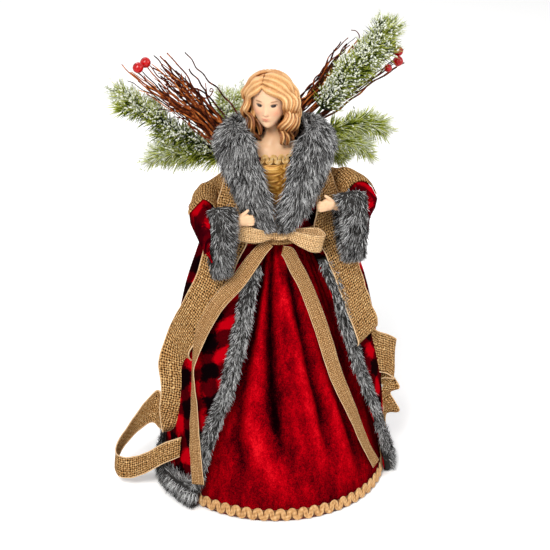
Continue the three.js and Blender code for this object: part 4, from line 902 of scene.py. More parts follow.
leaf = scroll(arc, rise, 7.5)
slack = ripple(polar(bu, 30, rise), 12, 21)
bodice_mid = polar(bu, torso_radius(bu, bv) + 0.95, rise)
bodice = shell(
    "gold_bodice",
    polar(bu, torso_radius(bu, bv) + 0.6, rise),
    polar(bu, torso_radius(bu, bv) + 1.25 + 0.22 * leaf + 0.12 * slack, rise),
    True,
    tones=0.42 + 0.24 * leaf + 0.08 * slack,
)
dress(bodice, gold_brocade, "figure", "gold_brocade", "gold_bodice")
declare(bodice_mid, True)


# Gimp braids: a band of four cords that winds in even scrolls on a thin backing
def gimp(name, place, loops, length, height, radius, bend, material, slot, backing, closes):
    heading = bend * np.cos(2 * math.pi * np.arange(26 * loops + 1) / 26)
    ahead, aside = np.cos(heading), np.sin(heading)
    along = np.concatenate([[0], np.cumsum((ahead[1:] + ahead[:-1]) / 2)])
    across = np.concatenate([[0], np.cumsum((aside[1:] + aside[:-1]) / 2)])
    along *= length / along[-1]
    across *= (height / 2 - 4 * radius) / np.abs(across).max()
    way = unit(np.stack([np.gradient(along), np.gradient(across)], -1))
    parts = []
    for k in (-1.5, -0.5, 0.5, 1.5):
        shift = k * 1.9 * radius
        crown = radius * (1.15 - 0.3 * abs(k)) + 0.25 * radius * np.sign(way[:, 1])
        line = place(along - way[:, 1] * shift, height / 2 + across + way[:, 0] * shift, crown)
        p, q, t, _ = tube(line, radius, 6, reference=(0.01, 0.02, 1))
        parts.append((p, q, t, 0.66 + 0.3 * ripple(p, 2.2, 4)))
    p, q, t, tone = gather(parts)
    cords = piece(name, p, q, t, tones=tone)
    dress(cords, material, "figure", slot, name)
    # Painted shade: the backing has the darkest tone, so the gaps between the cords show dark
    band = shell(name + "_backing", *backing, closes, tones=np.full(backing[0].shape[:2], 0.05))
    dress(band, material, "figure", slot)


hem_loops, hem_height, hem_cord = 62, 11.4, 0.56


def on_hem(s, z, off):
    azimuth = s / hem_radius / degrees
    return polar(azimuth, skirt_radius(azimuth, level_at(z)) + 0.9 + off, z + 0.6)


hu, hv = row_grid(0, 1, 4, 232, 0, 360, closed=True)
hem_heights = 2.0 + hv * 8.0
band_radius = skirt_radius(hu, level_at(hem_heights)) + 0.45
hem_backing = [polar(hu, band_radius + off, hem_heights) for off in (0.25, 0.75)]
hem_length = 2 * math.pi * hem_radius
gimp(
    "hem_braid", on_hem, hem_loops, hem_length, hem_height, hem_cord, 1.5, hem_gimp, "hem_braid",
    hem_backing, True,
)

neck_radius, neck_half, neck_loops, neck_height, neck_cord = 27.0, 62, 7, 9.0, 0.44


def on_neck(s, z, off):
    azimuth = -12 - neck_half + s / neck_radius / degrees
    height = height_at(1.96) - 3.0 + z
    return polar(azimuth, torso_radius(azimuth, np.minimum(level_at(height), 1.965)) + 1.75 + off, height)


neck_length = 2 * neck_half * degrees * neck_radius
nu, nv = row_grid(0, 1, 4, 90, 0, neck_length)
neck_backing = [on_neck(nu, nv * 5.6 + 0.4, off) for off in (-0.1, 0.35)]
gimp(
    "neckline_braid", on_neck, neck_loops, neck_length, neck_height, neck_cord, 1.6, gold_braid,
    "gold_braid", neck_backing, False,
)

# Fur round the hem of the coat and down its front edges
band_height, band_belly = 21.0, 6.2
fu, fv = row_grid(0, 1, 12, 200)
hem_levels = level_at(0.8 + fv * band_height)
hem_azimuth = coat_azimuth(fu, hem_levels)
round_top = np.sin(math.pi * np.clip(fv * 0.86 + 0.09, 0, 1)) ** 0.6
inner = on_coat(hem_azimuth, hem_levels, 0.7)
top = on_coat(hem_azimuth, hem_levels, 0.7 + band_belly * round_top)
comb = np.interp(fv, [0, 0.6, 0.85, 1], [-1.0, -1.0, 0.3, 1.0])[..., None] * up
fur_piece("fur_hem", inner, top, comb, 12400, 8.5, 56, 31, "figure", light=0.36, spread=0.7)

edge_wide, edge_belly = 12.5, 4.4
for name, from_left in (("left", True), ("right", False)):
    eu, ev = row_grid(0.082, 0.955, 110, 10)
    edge_round = coat_azimuth(1.0, ev) - coat_azimuth(0.0, ev)
    edge_radius = coat_radius(coat_azimuth(0.0 if from_left else 1.0, ev), ev)
    width = edge_wide / (np.abs(edge_round) * degrees * edge_radius)
    along = eu * width if from_left else 1 - eu * width
    profile = np.clip(np.sin(math.pi * (0.06 + 0.88 * eu)), 0, 1) ** 0.7
    base = on_coat(coat_azimuth(along, ev), ev, 0.95)
    top = on_coat(coat_azimuth(along, ev), ev, 0.95 + edge_belly * profile)
    side = unit(np.gradient(top, axis=1)) * (eu - 0.5)[..., None]
    comb = unit(-np.gradient(top, axis=0)) + 0.9 * side
    fur_piece("fur_edge_" + name, base, top, comb, 8200, 5.5, 66, 41 + from_left, "figure")

# Fur collar: two lapels from the waist to the back of the neck. A row holds azimuth, share of the reach
# and level, first of the inner border and then of the outer one.
collar_rows = [
    [2, 0.97, 1.245, 13, 0.98, 1.243], [2, 0.99, 1.34, 19, 1.0, 1.31], [5, 0.98, 1.585, 33, 1.02, 1.487],
    [10, 0.9, 1.783, 46, 1.0, 1.664], [18, 0.78, 1.993, 65, 1.0, 1.863], [27, 0.68, 2.158, 85, 1.03, 2.04],
    [48, 0.57, 2.28, 100, 1.0, 2.12], [85, 0.57, 2.3, 120, 0.9, 2.13], [130, 0.56, 2.24, 148, 0.84, 2.1],
    [178, 0.54, 2.2, 178, 0.8, 2.06],
]
collar_middle, collar_reach, collar_belly, collar_pile = -12, 50, 9.0, 10.0


def collar_border(side, column):
    rows = [r[column:column + 3] for r in collar_rows]
    return curve([polar(collar_middle + side * a, s * collar_reach, float(height_at(l))) for a, s, l in rows])


for name, side in (("left", -1), ("right", 1)):
    lu, lv = row_grid(0.05, 1, 120, 26, 0.02, 0.9)
    low, high = (collar_border(side, column)(lv[:, 0])[:, None] for column in (0, 3))
    under = low + (high - low) * lu[..., None]
    out = grid_normals(under, False) * side
    low_end = np.interp(lv, [0.05, 0.09, 0.22], [0.3, 0.55, 1])
    profile = 0.3 + 0.7 * np.sin(math.pi * (lu - 0.02) / 0.88) ** 0.6
    top = under + out * (collar_belly * 0.74 * low_end * profile)[..., None]
    away = unit(high - low) * (lu - 0.34)[..., None]
    comb = unit(unit(-np.gradient(top, axis=0)) + 0.9 * away)

    # The underside is drawn in to rest on the coat
    seat_azimuth = np.arctan2(under[..., 0], -under[..., 1]) / degrees
    seat_radius = coat_radius(seat_azimuth, level_at(under[..., 2])) + 1.3
    drop = np.hypot(under[..., 0], under[..., 1]) - seat_radius
    share = swell(lu, 0.15, 0.9) * swell(lv, 0.06, 0.46)
    seated = under + polar(seat_azimuth, -1.0, 0.0) * (np.maximum(drop, 0) * share)[..., None]
    shares = low_end * np.where(lu > 0.6, 0.8, 1.0)
    fur_piece(
        "fur_collar_" + name, seated, top, comb, 12200, collar_pile, 68, 51 + side, "figure", shares=shares
    )

# The collar's stand behind the neck, from the coat up to the lapels
stand_radius, stand_thick, stand_pile = 27.5, 2.4, 8.0
wu, wv = row_grid(0, 1, 10, 80, 78, 282)
stand_low = on_coat(np.where(wu > 180, wu - 360, wu), 1.9, 0.5)
stand_high = polar(wu, stand_radius, float(height_at(2.27)))
stand_in = stand_low * (1 - wv)[..., None] + stand_high * wv[..., None]
stand_out = stand_in + polar(wu, stand_thick, 0.0)
# Painted shade: the stand's shell has a dark tone, as under the pile
stand = shell("collar_stand", stand_in, stand_out, tones=np.full(wu.shape, 0.12))
dress(stand, fur, "figure", "grey_fur")
upward = np.zeros(wu.shape + (3,)) + up
away = unit(polar(wu, 1.0, 0.0))
for name, face_grid, outward, comb, count in (
    ("inner", stand_in, -away, upward, 3600),
    ("outer", stand_out, away, -upward, 7500),
):
    hairs = pile_on("collar_stand_pile_" + name, face_grid, outward, comb, count, stand_pile, 60, 57)
    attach(hairs, "figure")


# Ribbons
def stations_on(radius_at, rows):
    """Middle and straight-across direction of each row that lies on a cloth."""

    def at(azimuth, level, offset=0.0):
        return polar(azimuth, radius_at(azimuth, level) + offset, float(height_at(level)))

    places = np.array([at(r[0], r[1], r[2] * ribbon) for r in rows])
    acrosses = []
    for i, row in enumerate(rows):
        a, l = row[0], row[1]
        outward = unit(np.cross(at(a + 5, l) - at(a - 5, l), at(a, l + 0.02) - at(a, l - 0.02)))
        way = unit(places[min(i + 1, len(rows) - 1)] - places[max(i - 1, 0)])
        across = unit(np.cross(outward, way))
        spin = row[4] * degrees if len(row) > 4 else 0.0
        acrosses.append(across * math.cos(spin) + np.cross(way, across) * math.sin(spin))
    return list(places), acrosses


def ribbon_grid(middles, acrosses, shares, width, steps, cols, ruffle, seed):
    middle = curve(middles)
    wide = curve([m + a * s for m, a, s in zip(middles, acrosses, shares)])
    t = np.linspace(0, 1, steps)
    centre, reach = middle(t), wide(t) - middle(t)
    grid = centre[:, None] + reach[:, None] * ((np.linspace(0, 1, cols) - 0.5) * width)[None, :, None]
    edge = np.abs(np.linspace(-1, 1, cols))[None] ** 2
    ruffles = ruffle * (0.4 + 0.6 * edge) * ripple(grid, 17, seed)
    return grid + grid_normals(grid, False) * ruffles[..., None]


def ribbon_piece(name, grid, thickness, material, slot, wire, body="figure"):
    """The ribbon, and the wired thread along both its edges."""
    made = sheet_of(name, grid, thickness)
    lines = [tube(grid[:, k], wire, 5, reference=(0.1, 0.2, 1)) for k in (0, -1)]
    p, q, t, _ = gather(lines)
    edge = piece(name + "_edges", p, q, t, tones=0.75 + 0.25 * ripple(p, 1.8, 8))
    dress(edge, edge_thread, body, slot)
    dress(made, material, body, slot, name)
    declare(grid)
    return made, edge


# Side ribbons. A row on the coat holds azimuth, level, offset and share of the width. A loose row holds a
# place, the way across there and the share of the width.
left_side = [
    [-66, 1.84, 0.012, 0.5], [-60, 1.46, 0.03, 0.9], [-60, 1.14, 0.04, 0.9], [-61, 0.98, 0.045, 0.85],
    [-62, 0.88, 0.045, 0.85], [-68, 0.76, 0.05, 0.88], [-76, 0.64, 0.06, 0.9],
]
left_loose = [
    [-0.92, -0.2, 1.24, -0.9, 0.42, 0.1, 0.88], [-0.93, -0.24, 1.0, -0.9, 0.4, 0.1, 0.78],
    [-0.98, -0.22, 0.76, -0.92, 0.35, 0.15, 0.6], [-1.04, -0.14, 0.55, -0.5, -0.7, 0.4, 0.24],
    [-1.05, -0.02, 0.6, 0.1, -0.3, 0.95, 0.55], [-1.08, 0.08, 0.69, 0.2, 0, 0.97, 0.85],
    [-1.21, 0.13, 0.57, 0.3, 0, 0.95, 0.85], [-1.38, 0.12, 0.36, 0.25, 0, 0.95, 0.64],
    [-1.47, 0.05, 0.24, 0.1, 0.1, 0.95, 0.55], [-1.46, -0.05, 0.2, 0, 0, 1, 0.55],
    [-1.38, -0.11, 0.2, 0, 0, 1, 0.55], [-1.24, -0.2, 0.28, 0.1, 0, 1, 0.55],
    [-1.08, -0.3, 0.42, 0.1, 0, 1, 0.54], [-0.94, -0.36, 0.5, 0.1, 0, 1, 0.5],
]
right_side = [
    [66, 1.84, 0.012, 0.5], [58, 1.46, 0.03, 0.95], [54, 1.14, 0.04, 0.95], [54, 0.98, 0.045, 0.85],
    [54, 0.86, 0.045, 0.85], [55, 0.74, 0.05, 0.85], [56, 0.64, 0.06, 0.9],
]
right_loose = [
    [0.68, -0.42, 1.4, 0.6, 0.75, 0.1, 0.85], [0.73, -0.38, 1.32, 0.4, 0.4, 0.8, 0.95],
    [0.84, -0.3, 1.22, 0.1, 0.05, 1, 1], [1.0, -0.22, 1.12, 0, 0, 1, 1.03],
    [1.07, -0.17, 1.04, 0.1, 0.3, 0.95, 0.92], [1.0, -0.12, 0.97, 0.3, 0.5, 0.75, 0.66],
    [0.97, -0.14, 0.86, 0.85, 0.3, 0.4, 0.5], [1.05, -0.16, 0.76, 0.85, 0.2, -0.4, 0.5],
    [0.98, -0.14, 0.65, 0.85, 0.3, 0.3, 0.46], [1.07, -0.12, 0.5, 0.85, 0.2, -0.4, 0.48],
    [0.99, -0.1, 0.42, 0.75, 0.5, 0.3, 0.4], [1.0, -0.08, 0.26, 0.9, 0.3, 0, 0.2],
]
for name, rows, loose in (("left", left_side, left_loose), ("right", right_side, right_loose)):
    middles, acrosses = stations_on(coat_radius, rows)
    side = math.copysign(1, rows[0][0])
    acrosses = [a * math.copysign(1, a[0] * side) for a in acrosses]
    middles += [np.array(r[:3]) * ribbon for r in loose]
    acrosses += [unit(np.array(r[3:6], float)) for r in loose]
    shares = [r[3] for r in rows] + [r[6] for r in loose]
    grid = ribbon_grid(middles, acrosses, shares, side_wide, 300, 30, ruffle=0.7, seed=61)
    ribbon_piece("side_ribbon_" + name, grid, cloth, burlap, "burlap", 0.65)

# Waist ribbon
belt_low, belt_high = 238.5, 250.5
belt_u, belt_v = row_grid(belt_low, belt_high, 9, 260, -180, 180, closed=True)
belt_wrinkle = 0.12 * ripple(polar(belt_u, 60, belt_v), 9, 3)
belt_grid = polar(belt_u, coat_radius(belt_u, level_at(belt_v)) + 1.35 + belt_wrinkle, belt_v)
belt = sheet_of("waist_ribbon", belt_grid, 0.6, True)
dress(belt, fine_ribbon, "figure", "fine_ribbon", "waist_ribbon")
declare(belt_grid, True)

# Bow, about a point on the coat: shares of the ribbon's reach aside, outward and up
bow_azimuth, bow_height, bow_wide, bow_thick, bow_wire = -8.0, 250.0, 15, 0.7, 0.38
bow_radius = float(coat_radius(bow_azimuth, float(level_at(bow_height)))) + 2.0
bow_out, bow_side = polar(bow_azimuth, 1.0, 0.0), polar(bow_azimuth + 90, 1.0, 0.0)


def by_bow(aside, out, rise):
    level = np.array([0, 0, bow_height + rise * ribbon])
    return level + bow_out * (bow_radius + out * ribbon) + bow_side * aside * ribbon


left_loop = [
    [-0.06, 0.05, 0], [-0.16, 0.105, 0.012], [-0.28, 0.12, 0.04], [-0.39, 0.075, 0.07], [-0.32, 0.03, 0.085],
    [-0.2, 0.03, 0.055], [-0.06, 0.03, 0.01],
]
right_loop = [
    [0.06, 0.05, 0], [0.16, 0.1, -0.03], [0.28, 0.105, -0.075], [0.365, 0.06, -0.09], [0.32, 0.014, -0.05],
    [0.2, 0.02, -0.012], [0.06, 0.03, 0],
]
loop_shares = [0.42, 0.7, 0.96, 1, 0.96, 0.66, 0.42]
for name, rows, tilt in (("left", left_loop, 0.02), ("right", right_loop, 0.26)):
    acrosses = [unit(np.array([tilt, 0, 1.0]))] * len(rows)
    places = [by_bow(*r) for r in rows]
    grid = ribbon_grid(places, acrosses, loop_shares, bow_wide, 90, 14, ruffle=0.35, seed=71)
    name = "bow_loop_" + name
    ribbon_piece(name, grid, bow_thick, lit_bow_ribbon, "fine_ribbon", bow_wire)

left_tail = [
    [-19, 1.1, 0.03, 0.6, 0], [-27, 1.03, 0.035, 0.8, 0], [-34, 0.97, 0.075, 0.95, 0],
    [-41, 0.91, 0.1, 1, 0], [-52, 0.82, 0.105, 1, 0], [-59, 0.7, 0.095, 1, 10],
    [-60.5, 0.62, 0.095, 0.8, 30], [-62, 0.55, 0.07, 0.6, 40], [-60, 0.43, 0.05, 0.8, 20],
    [-56, 0.28, 0.075, 0.9, 0], [-52, 0.12, 0.085, 0.9, -10],
]
right_tail = [
    [-5, 1.02, 0.196, 0.6, 0], [1, 0.995, 0.17, 0.85, 0], [9, 0.94, 0.12, 1, 0], [19, 0.86, 0.085, 1, 0],
    [27, 0.7, 0.06, 1, 0], [31, 0.52, 0.05, 1, 0], [38, 0.36, 0.05, 1, 0], [46, 0.2, 0.055, 0.9, 0],
    [53, 0.1, 0.06, 0.7, 20],
]
for name, rows, radius_at, cloth_below in (
    ("left", left_tail, coat_radius, "coat"),
    ("right", right_tail, skirt_radius, "skirt"),
):
    middles, acrosses = stations_on(radius_at, rows)
    shares = [r[3] * 0.84 for r in rows]
    grid = ribbon_grid(middles, acrosses, shares, bow_wide, 170, 14, ruffle=0.3, seed=81)
    rests, name = [cloth_below, "bow_knot"], "bow_tail_" + name
    ribbon_piece(name, grid, bow_thick, fine_ribbon, "fine_ribbon", bow_wire)

# Knot: a soft wrap with creases that run in from both sides
knot_half, knot_deep, knot_high = 7.0, 3.3, 5.3
ku, kv = row_grid(-1, 1, 44, 64, 0, 1, closed=True)
turn = ku * 2 * math.pi
round_x = np.sign(kv) * (1 - (1 - np.abs(kv)) ** 1.6)
belly = np.clip(1 - np.abs(kv) ** 3.2, 0.02, 1) ** 0.5
crease = 1 + 0.07 * np.cos(7 * turn + 1.5 * kv) + 0.05 * np.cos(13 * turn - 2.5 * kv)
cross_z = np.sign(np.sin(turn)) * np.abs(np.sin(turn)) ** 0.75 * knot_high * belly * crease
cross_y = np.sign(np.cos(turn)) * np.abs(np.cos(turn)) ** 0.75 * knot_deep * belly * crease
knot_grid = by_bow(0, 0, 0) + bow_out * knot_deep + round_x[..., None] * knot_half * bow_side
knot_grid = knot_grid + cross_y[..., None] * bow_out + cross_z[..., None] * up
uv = np.concatenate([np.stack([round_x * 7.9, turn * 4.5], -1).reshape(-1, 2), np.zeros((2, 2))])
knot = piece("bow_knot", *ring_body(knot_grid), uvs=uv)
dress(knot, lit_bow_ribbon, "figure", "fine_ribbon", "bow_knot")

# Arms: plush sleeve, fur cuff, hand and the burlap over the shoulder. Shares of the arm's span: a row of
# the sleeve holds its middle's place out, forward and up, and its half width and half height.
shoulder_out, shoulder_high = 47, 290
sleeve_rows = [
    [0.14, -0.1, -0.28, 0.08, 0.08], [0.19, -0.06, -0.3, 0.13, 0.14], [0.31, 0.06, -0.38, 0.2, 0.2],
    [0.42, 0.26, -0.5, 0.26, 0.28], [0.45, 0.46, -0.62, 0.27, 0.38], [0.46, 0.7, -0.76, 0.28, 0.48],
    [0.44, 0.92, -0.84, 0.3, 0.57], [0.44, 1.12, -0.88, 0.26, 0.5], [0.44, 1.22, -0.88, 0.12, 0.28],
]
sleeve_path = curve([r[:3] for r in sleeve_rows])
sleeve_size = curve([[r[3], r[4], 0] for r in sleeve_rows])


def arm_place(side, lift, out, forward, rise):
    x, z = side * (shoulder_out + out * arm_span), shoulder_high + lift + rise * arm_span
    return np.array([x, -forward * arm_span, z])


def sleeve_point(side, lift, along, turn, offset):
    where, size = sleeve_path(along) * arm_span, sleeve_size(along) * arm_span
    x = where[..., 0] + shoulder_out + (size[..., 0] + offset) * np.cos(turn)
    z = shoulder_high + lift + where[..., 2] + (size[..., 1] + offset) * np.sin(turn)
    x, y, z = np.broadcast_arrays(side * x, -where[..., 1], z)
    return np.stack([x, y, z], -1)


def applied(obj):
    """Turns an object's modifiers into its own mesh."""
    bpy.context.view_layer.update()
    mesh = bpy.data.meshes.new_from_object(obj.evaluated_get(bpy.context.evaluated_depsgraph_get()))
    obj.modifiers.clear()
    obj.data = mesh
    return mesh


def thicken(obj, thickness):
    """Gives a single-walled mesh its cloth thickness, towards the inside."""
    wall = obj.modifiers.new("wall", "SOLIDIFY")
    wall.thickness, wall.offset = thickness, -1
    applied(obj)


def remeshed(name, parts, voxel, smooth_steps):
    """Parts grown together into one skin."""
    p, q, t, _ = gather(parts)
    obj = piece(name, p, q, t)
    skin = obj.modifiers.new("skin", "REMESH")
    skin.mode, skin.voxel_size = "VOXEL", voxel / 1000
    even = obj.modifiers.new("even", "SMOOTH")
    even.iterations, even.factor = smooth_steps, 0.5
    mesh = applied(obj)
    mesh.polygons.foreach_set("use_smooth", np.full(len(mesh.polygons), True))
    return obj


def ball(radii):
    v, u = np.linspace(0.04, math.pi - 0.04, 14), np.linspace(0, 2 * math.pi, 21)[:-1]
    v, u = np.meshgrid(v, u, indexing="ij")
    grid = np.stack([np.sin(v) * np.cos(u), np.sin(v) * np.sin(u), np.cos(v)], -1)
    points, quads, caps = ring_body(grid * np.array(radii), turned=True)
    return points, quads, caps, np.zeros(len(points))


def points_of(obj):
    co = np.empty(len(obj.data.vertices) * 3, np.float32)
    obj.data.vertices.foreach_get("co", co)
    return (co.reshape(-1, 3).astype(float) - axis) * 1000


# How far each arm reaches out at a height
arm_reach = {
    "left": ([222, 241, 247, 254, 267, 285, 298], [63, 69, 74, 77, 77, 59, 45]),
    "right": ([202, 214, 233, 242, 251, 262, 275, 291], [78, 83, 85, 90, 92, 88, 78, 50]),
}


def drawn_in(grid, name, side, lift, room):
    """Draws what stands past the arm's reach back to it."""
    nearer = np.minimum(grid[..., 1], 0) if side > 0 else 0
    reach = np.interp(grid[..., 2] - lift + 0.45 * nearer, *arm_reach[name]) + 0.3 * nearer + room
    grid = grid.copy()
    grid[..., 0] -= side * np.maximum(side * grid[..., 0] - reach, 0) * 0.96
    return grid


def sleeve(name, side, lift, limit):
    """Plush sleeve, open at the mouth, which stands limit millimetres out."""
    along, turn = np.linspace(0, 1, 80)[:, None], np.linspace(0, 2 * math.pi, 97)[None, :-1]
    flat = sleeve_point(side, lift, along, turn, 0.0)
    smooth_over = 1 - np.clip(np.sin(turn), 0, 1) * (along < 0.5)
    drape = 0.9 * np.sin(5 * turn + 9 * along) * swell(along, 0.1, 1.0) * smooth_over
    grid = sleeve_point(side, lift, along, turn, drape - 0.9 + 0.35 * ripple(flat, 15, 91))
    grid = drawn_in(grid, name, side, lift, 0.0)
    limit = limit - np.clip((grid[..., 1] + 30) * 2.2, 0, 60)
    inside = grid[..., 0] * side < limit
    grid[..., 0] = np.where(inside, side * limit, grid[..., 0])
    points, quads, caps = ring_body(grid)
    in_mouth = (inside & (grid[..., 1] < -31)).ravel()
    quads = quads[~in_mouth[quads].all(1)]
    caps = caps[~(in_mouth[caps[:, 1]] & in_mouth[caps[:, 2]])]
    if side < 0:
        quads, caps = quads[:, ::-1], caps[:, ::-1]
    across, down = lengths_of(grid, False)
    u = np.concatenate([np.zeros((len(grid), 1)), np.cumsum(across, 1)], 1)
    v = np.concatenate([[0], np.cumsum(down.mean(1))])[:, None]
    uv = np.concatenate([np.stack(np.broadcast_arrays(u, v), -1).reshape(-1, 2), np.zeros((2, 2))])
    used = np.unique(np.concatenate([quads.ravel(), caps.ravel()]))
    renumber = np.zeros(len(points), int)
    renumber[used] = np.arange(len(used))
    points, quads, caps = points[used], renumber[quads], renumber[caps]
    made = piece("sleeve_" + name, points, quads, caps, uvs=uv[used])
    thicken(made, 0.0012)
    dress(made, sleeve_velvet, "arm_" + name, "sleeve_velvet", "sleeve_" + name)


def cuff(name, side, lift, out, width):
    """Fur round the mouth."""
    gu, gv = row_grid(0, 1, 16, 90, 0, 2 * math.pi, closed=True)
    bulge = np.interp(gv, [0, 0.12, 0.5, 0.9, 1], [0.4, 0.8, 1, 0.8, 0.25])
    middle = arm_place(side, lift, 0, 0.97, -0.8)
    middle[0] = side * out

    def skin(thick):
        z = (0.53 * arm_span + thick) * np.sin(gu)
        y = (0.23 * arm_span + thick) * np.cos(gu)
        x = -side * (gv * width + gv * 0.1 * z)
        return middle + np.stack([x, y, z], -1)

    top = skin(bulge * 3.2)
    comb = np.zeros(top.shape) + np.array([-side * 0.35, 0, -1.0])
    comb[..., 0] += -side * (gv - 0.5) * 0.9
    body, seed = "arm_" + name, 101 + side
    fur_piece("cuff_" + name, skin(0.0), top, comb, 9500, 6.5, 66, seed, body, closes=True, light=0.34)


# Shares of the arm's span: drop and reach of each finger, and a finger's line from its root
fingers = [(0.07, 0.85), (0.026, 1.0), (-0.018, 1.03), (-0.062, 0.95)]
finger_steps = [
    [0, 0, 0], [-0.06, 0.025, 0.002], [-0.115, 0.02, -0.004], [-0.135, -0.03, -0.01], [-0.1, -0.075, -0.012],
]


def hand(name, side, lift, inward, lower):
    """Forearm, palm, four fingers and the thumb, grown together."""

    def at(out, forward, rise):
        return arm_place(side, lift, out if out > 0 else out - inward, forward - 0.03, rise - lower)

    def limb(points, steps, places, radii, sides, **more):
        t = np.linspace(0, 1, steps)
        return tube(curve([at(*point) for point in points])(t), np.interp(t, places, radii), sides, **more)

    forearm = [(0.34, 0.95, -0.51), (0.2, 0.95, -0.48), (-0.02, 1.01, -0.42), (-0.1, 1.06, -0.36)]
    thumb = [(-0.1, 1.07, -0.31), (-0.15, 1.1, -0.25), (-0.2, 1.115, -0.2), (-0.245, 1.11, -0.165)]
    parts = [limb(forearm, 24, [0, 0.4, 0.8, 1], [4.3, 4.0, 3.2, 3.0], 14)]
    palm = ball((6.4, 3.5, 5.6))
    parts.append((palm[0] + at(-0.17, 1.07, -0.35), *palm[1:]))
    for drop, reach in fingers:
        line = np.array([-0.2, 1.08, -0.37 + drop]) + np.array(finger_steps) * reach
        parts.append(limb(line, 22, [0, 0.5, 1], [1.55, 1.35, 0.95], 10))
    parts.append(limb(thumb, 20, [0, 0.3, 1], [2.1, 1.8, 1.05], 10, reference=(0, 1, 0)))
    made = remeshed("hand_" + name, parts, 0.42, 5)
    shade = 0.25 * np.clip(0.5 + 0.5 * ripple(points_of(made), 5, 7), 0, 1)[:, None]
    pale, warm = np.array(srgb((236, 196, 156))), np.array(srgb((222, 170, 128)))
    paint_with(made.data, pale * (1 - shade) + warm * shade)
    dress(made, bisque, "arm_" + name, "bisque", "hand_" + name)


def shoulder_ribbon(name, side, lift):
    """Burlap from under the collar over the upper arm, laid along the sleeve's shape."""
    columns = []
    for k in np.linspace(0, 1, 9):
        turn = (0.12 + 1.05 * k) * math.pi
        line = [
            on_coat(side * (122 - 84 * k), 1.86 - 0.1 * k, 1.6),
            on_coat(side * (116 - 74 * k), 1.72 - 0.2 * k, 3.0),
        ]
        for along, offset in ((1.6, 1.9), (2.4, 1.5), (3.2, 1.4), (4.1, 1.4)):
            line.append(sleeve_point(side, lift, np.array(along / 8), turn, offset))
        columns.append(curve(line)(np.linspace(0, 1, 70)))
    columns = np.array(columns).reshape(9, -1)
    fine = curve(columns)(np.linspace(0, 1, 48)).reshape(48, 70, 3).transpose(1, 0, 2)
    fine = drawn_in(fine, name, side, lift, 2.4)
    fine = fine + grid_normals(fine, False) * (0.3 * ripple(fine, 16, 5))[..., None]
    made = ribbon_piece("shoulder_ribbon_" + name, fine, cloth, burlap, "burlap", 0.6, None)
    for obj in made:
        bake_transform(obj)


def arm(name, side, lift, inward, lower, limit, cuff_out, cuff_wide):
    sleeve(name, side, lift, limit)
    cuff(name, side, lift, cuff_out, cuff_wide)
    hand(name, side, lift, inward, lower)
    shoulder_ribbon(name, side, lift)


arm("left", -1, 0.0, 0.0, 0.08, 68.0, 65.5, 16.0)
arm("right", 1, 4.0, 0.1, 0.02, 66.0, 65.0, 19.0)

# Head. Its own frame is in shares of the head's height, with the face to -Y.
lean_x, turn_z = 9 * degrees, -22 * degrees
across_x = [[1, 0, 0], [0, math.cos(lean_x), -math.sin(lean_x)], [0, math.sin(lean_x), math.cos(lean_x)]]
about_z = [[math.cos(turn_z), -math.sin(turn_z), 0], [math.sin(turn_z), math.cos(turn_z), 0], [0, 0, 1]]
head_turn = np.array(about_z) @ np.array(across_x)
head_place = np.array([-0.16 * head_size, -0.2 * head_size, float(height_at(2.2)) + 0.76 * head_size])


def on_head(points):
    return np.asarray(points, float) @ head_turn.T * head_size + head_place


# Neck and breastplate
nu, nv = row_grid(1.86, 2.44, 70, 96, 0, 360, closed=True)
lean = np.maximum(0, nv - 2.1) * head_size
shift = np.stack([-0.25 * lean, -0.2 * lean, 0 * lean], -1)
bust_grid = polar(nu, torso_radius(nu, nv), height_at(nv) + 0.3) + shift
from_middle = (nu + 12 + 180) % 360 - 180
hollow = np.exp(-(((nv - 2.1) / 0.045) ** 2)) * np.exp(-((from_middle / 14) ** 2))
bones = np.exp(-(((nv - 2.07) / 0.02) ** 2)) * np.exp(-(((np.abs(from_middle) - 38) / 20) ** 2))
bust_grid = bust_grid + polar(nu, 1.0, 0.0) * (-0.7 * hollow + 0.5 * bones)[..., None]
# Painted shade: the skin darkens up the neck towards the chin
chin_shade_share = 0.75 * np.clip((nv - 2.1) / 0.25, 0, 1)[..., None]
chest, under_chin_shade = np.array(srgb((236, 192, 150))), np.array(srgb((206, 150, 104)))
skin = chest * (1 - chin_shade_share) + under_chin_shade * chin_shade_share
skin = np.concatenate([skin.reshape(-1, 3), [chest, under_chin_shade]])
breast = piece("bust", *ring_body(bust_grid), paint=skin)
dress(breast, bisque, "figure", "bisque")

# Face: an egg that narrows to the chin, with the features raised on it and painted
fv, fu = np.meshgrid(np.linspace(0.004, 0.996, 210), np.linspace(0, 1, 301)[:-1], indexing="ij")
fu = fu + 0.032 * np.sin(2 * math.pi * fu * 2)
turn, rise = fu * 2 * math.pi, (fv - 0.5) * math.pi
x, y, z = np.sin(turn) * np.cos(rise), -np.cos(turn) * np.cos(rise), np.sin(rise)
full = np.where(z < 0, np.maximum(np.cos(rise), 1e-3) ** -0.4, 1.0)
jaw = np.where(z < 0, 1 - 0.22 * z * z, 1.0) * full
steep = np.where((z < 0) & (y < 0), np.maximum(np.cos(rise), 1e-3) ** -0.4, 1.0)
fx, fy, fz = 0.335 * x * jaw, 0.365 * y * full * steep, np.where(z < 0, 0.505, 0.46) * z


def bump(bx, bz, wx, wz, both=False):
    one = np.exp(-(((fx - bx) / wx) ** 2) - ((fz - bz) / wz) ** 2)
    return one + (np.exp(-(((fx + bx) / wx) ** 2) - ((fz - bz) / wz) ** 2) if both else 0)


def beside(place, reach, power):
    """1 over both eyes, falling to 0 at a reach from their places."""
    return np.clip(1 - (np.abs(np.abs(fx) - place) / reach) ** power, 0, 1)


def arc(height, bow, thin):
    """A line over both eyes that is bent by bow."""
    return np.exp(-(((fz - (height + bow * from_eye**2)) / thin) ** 2))


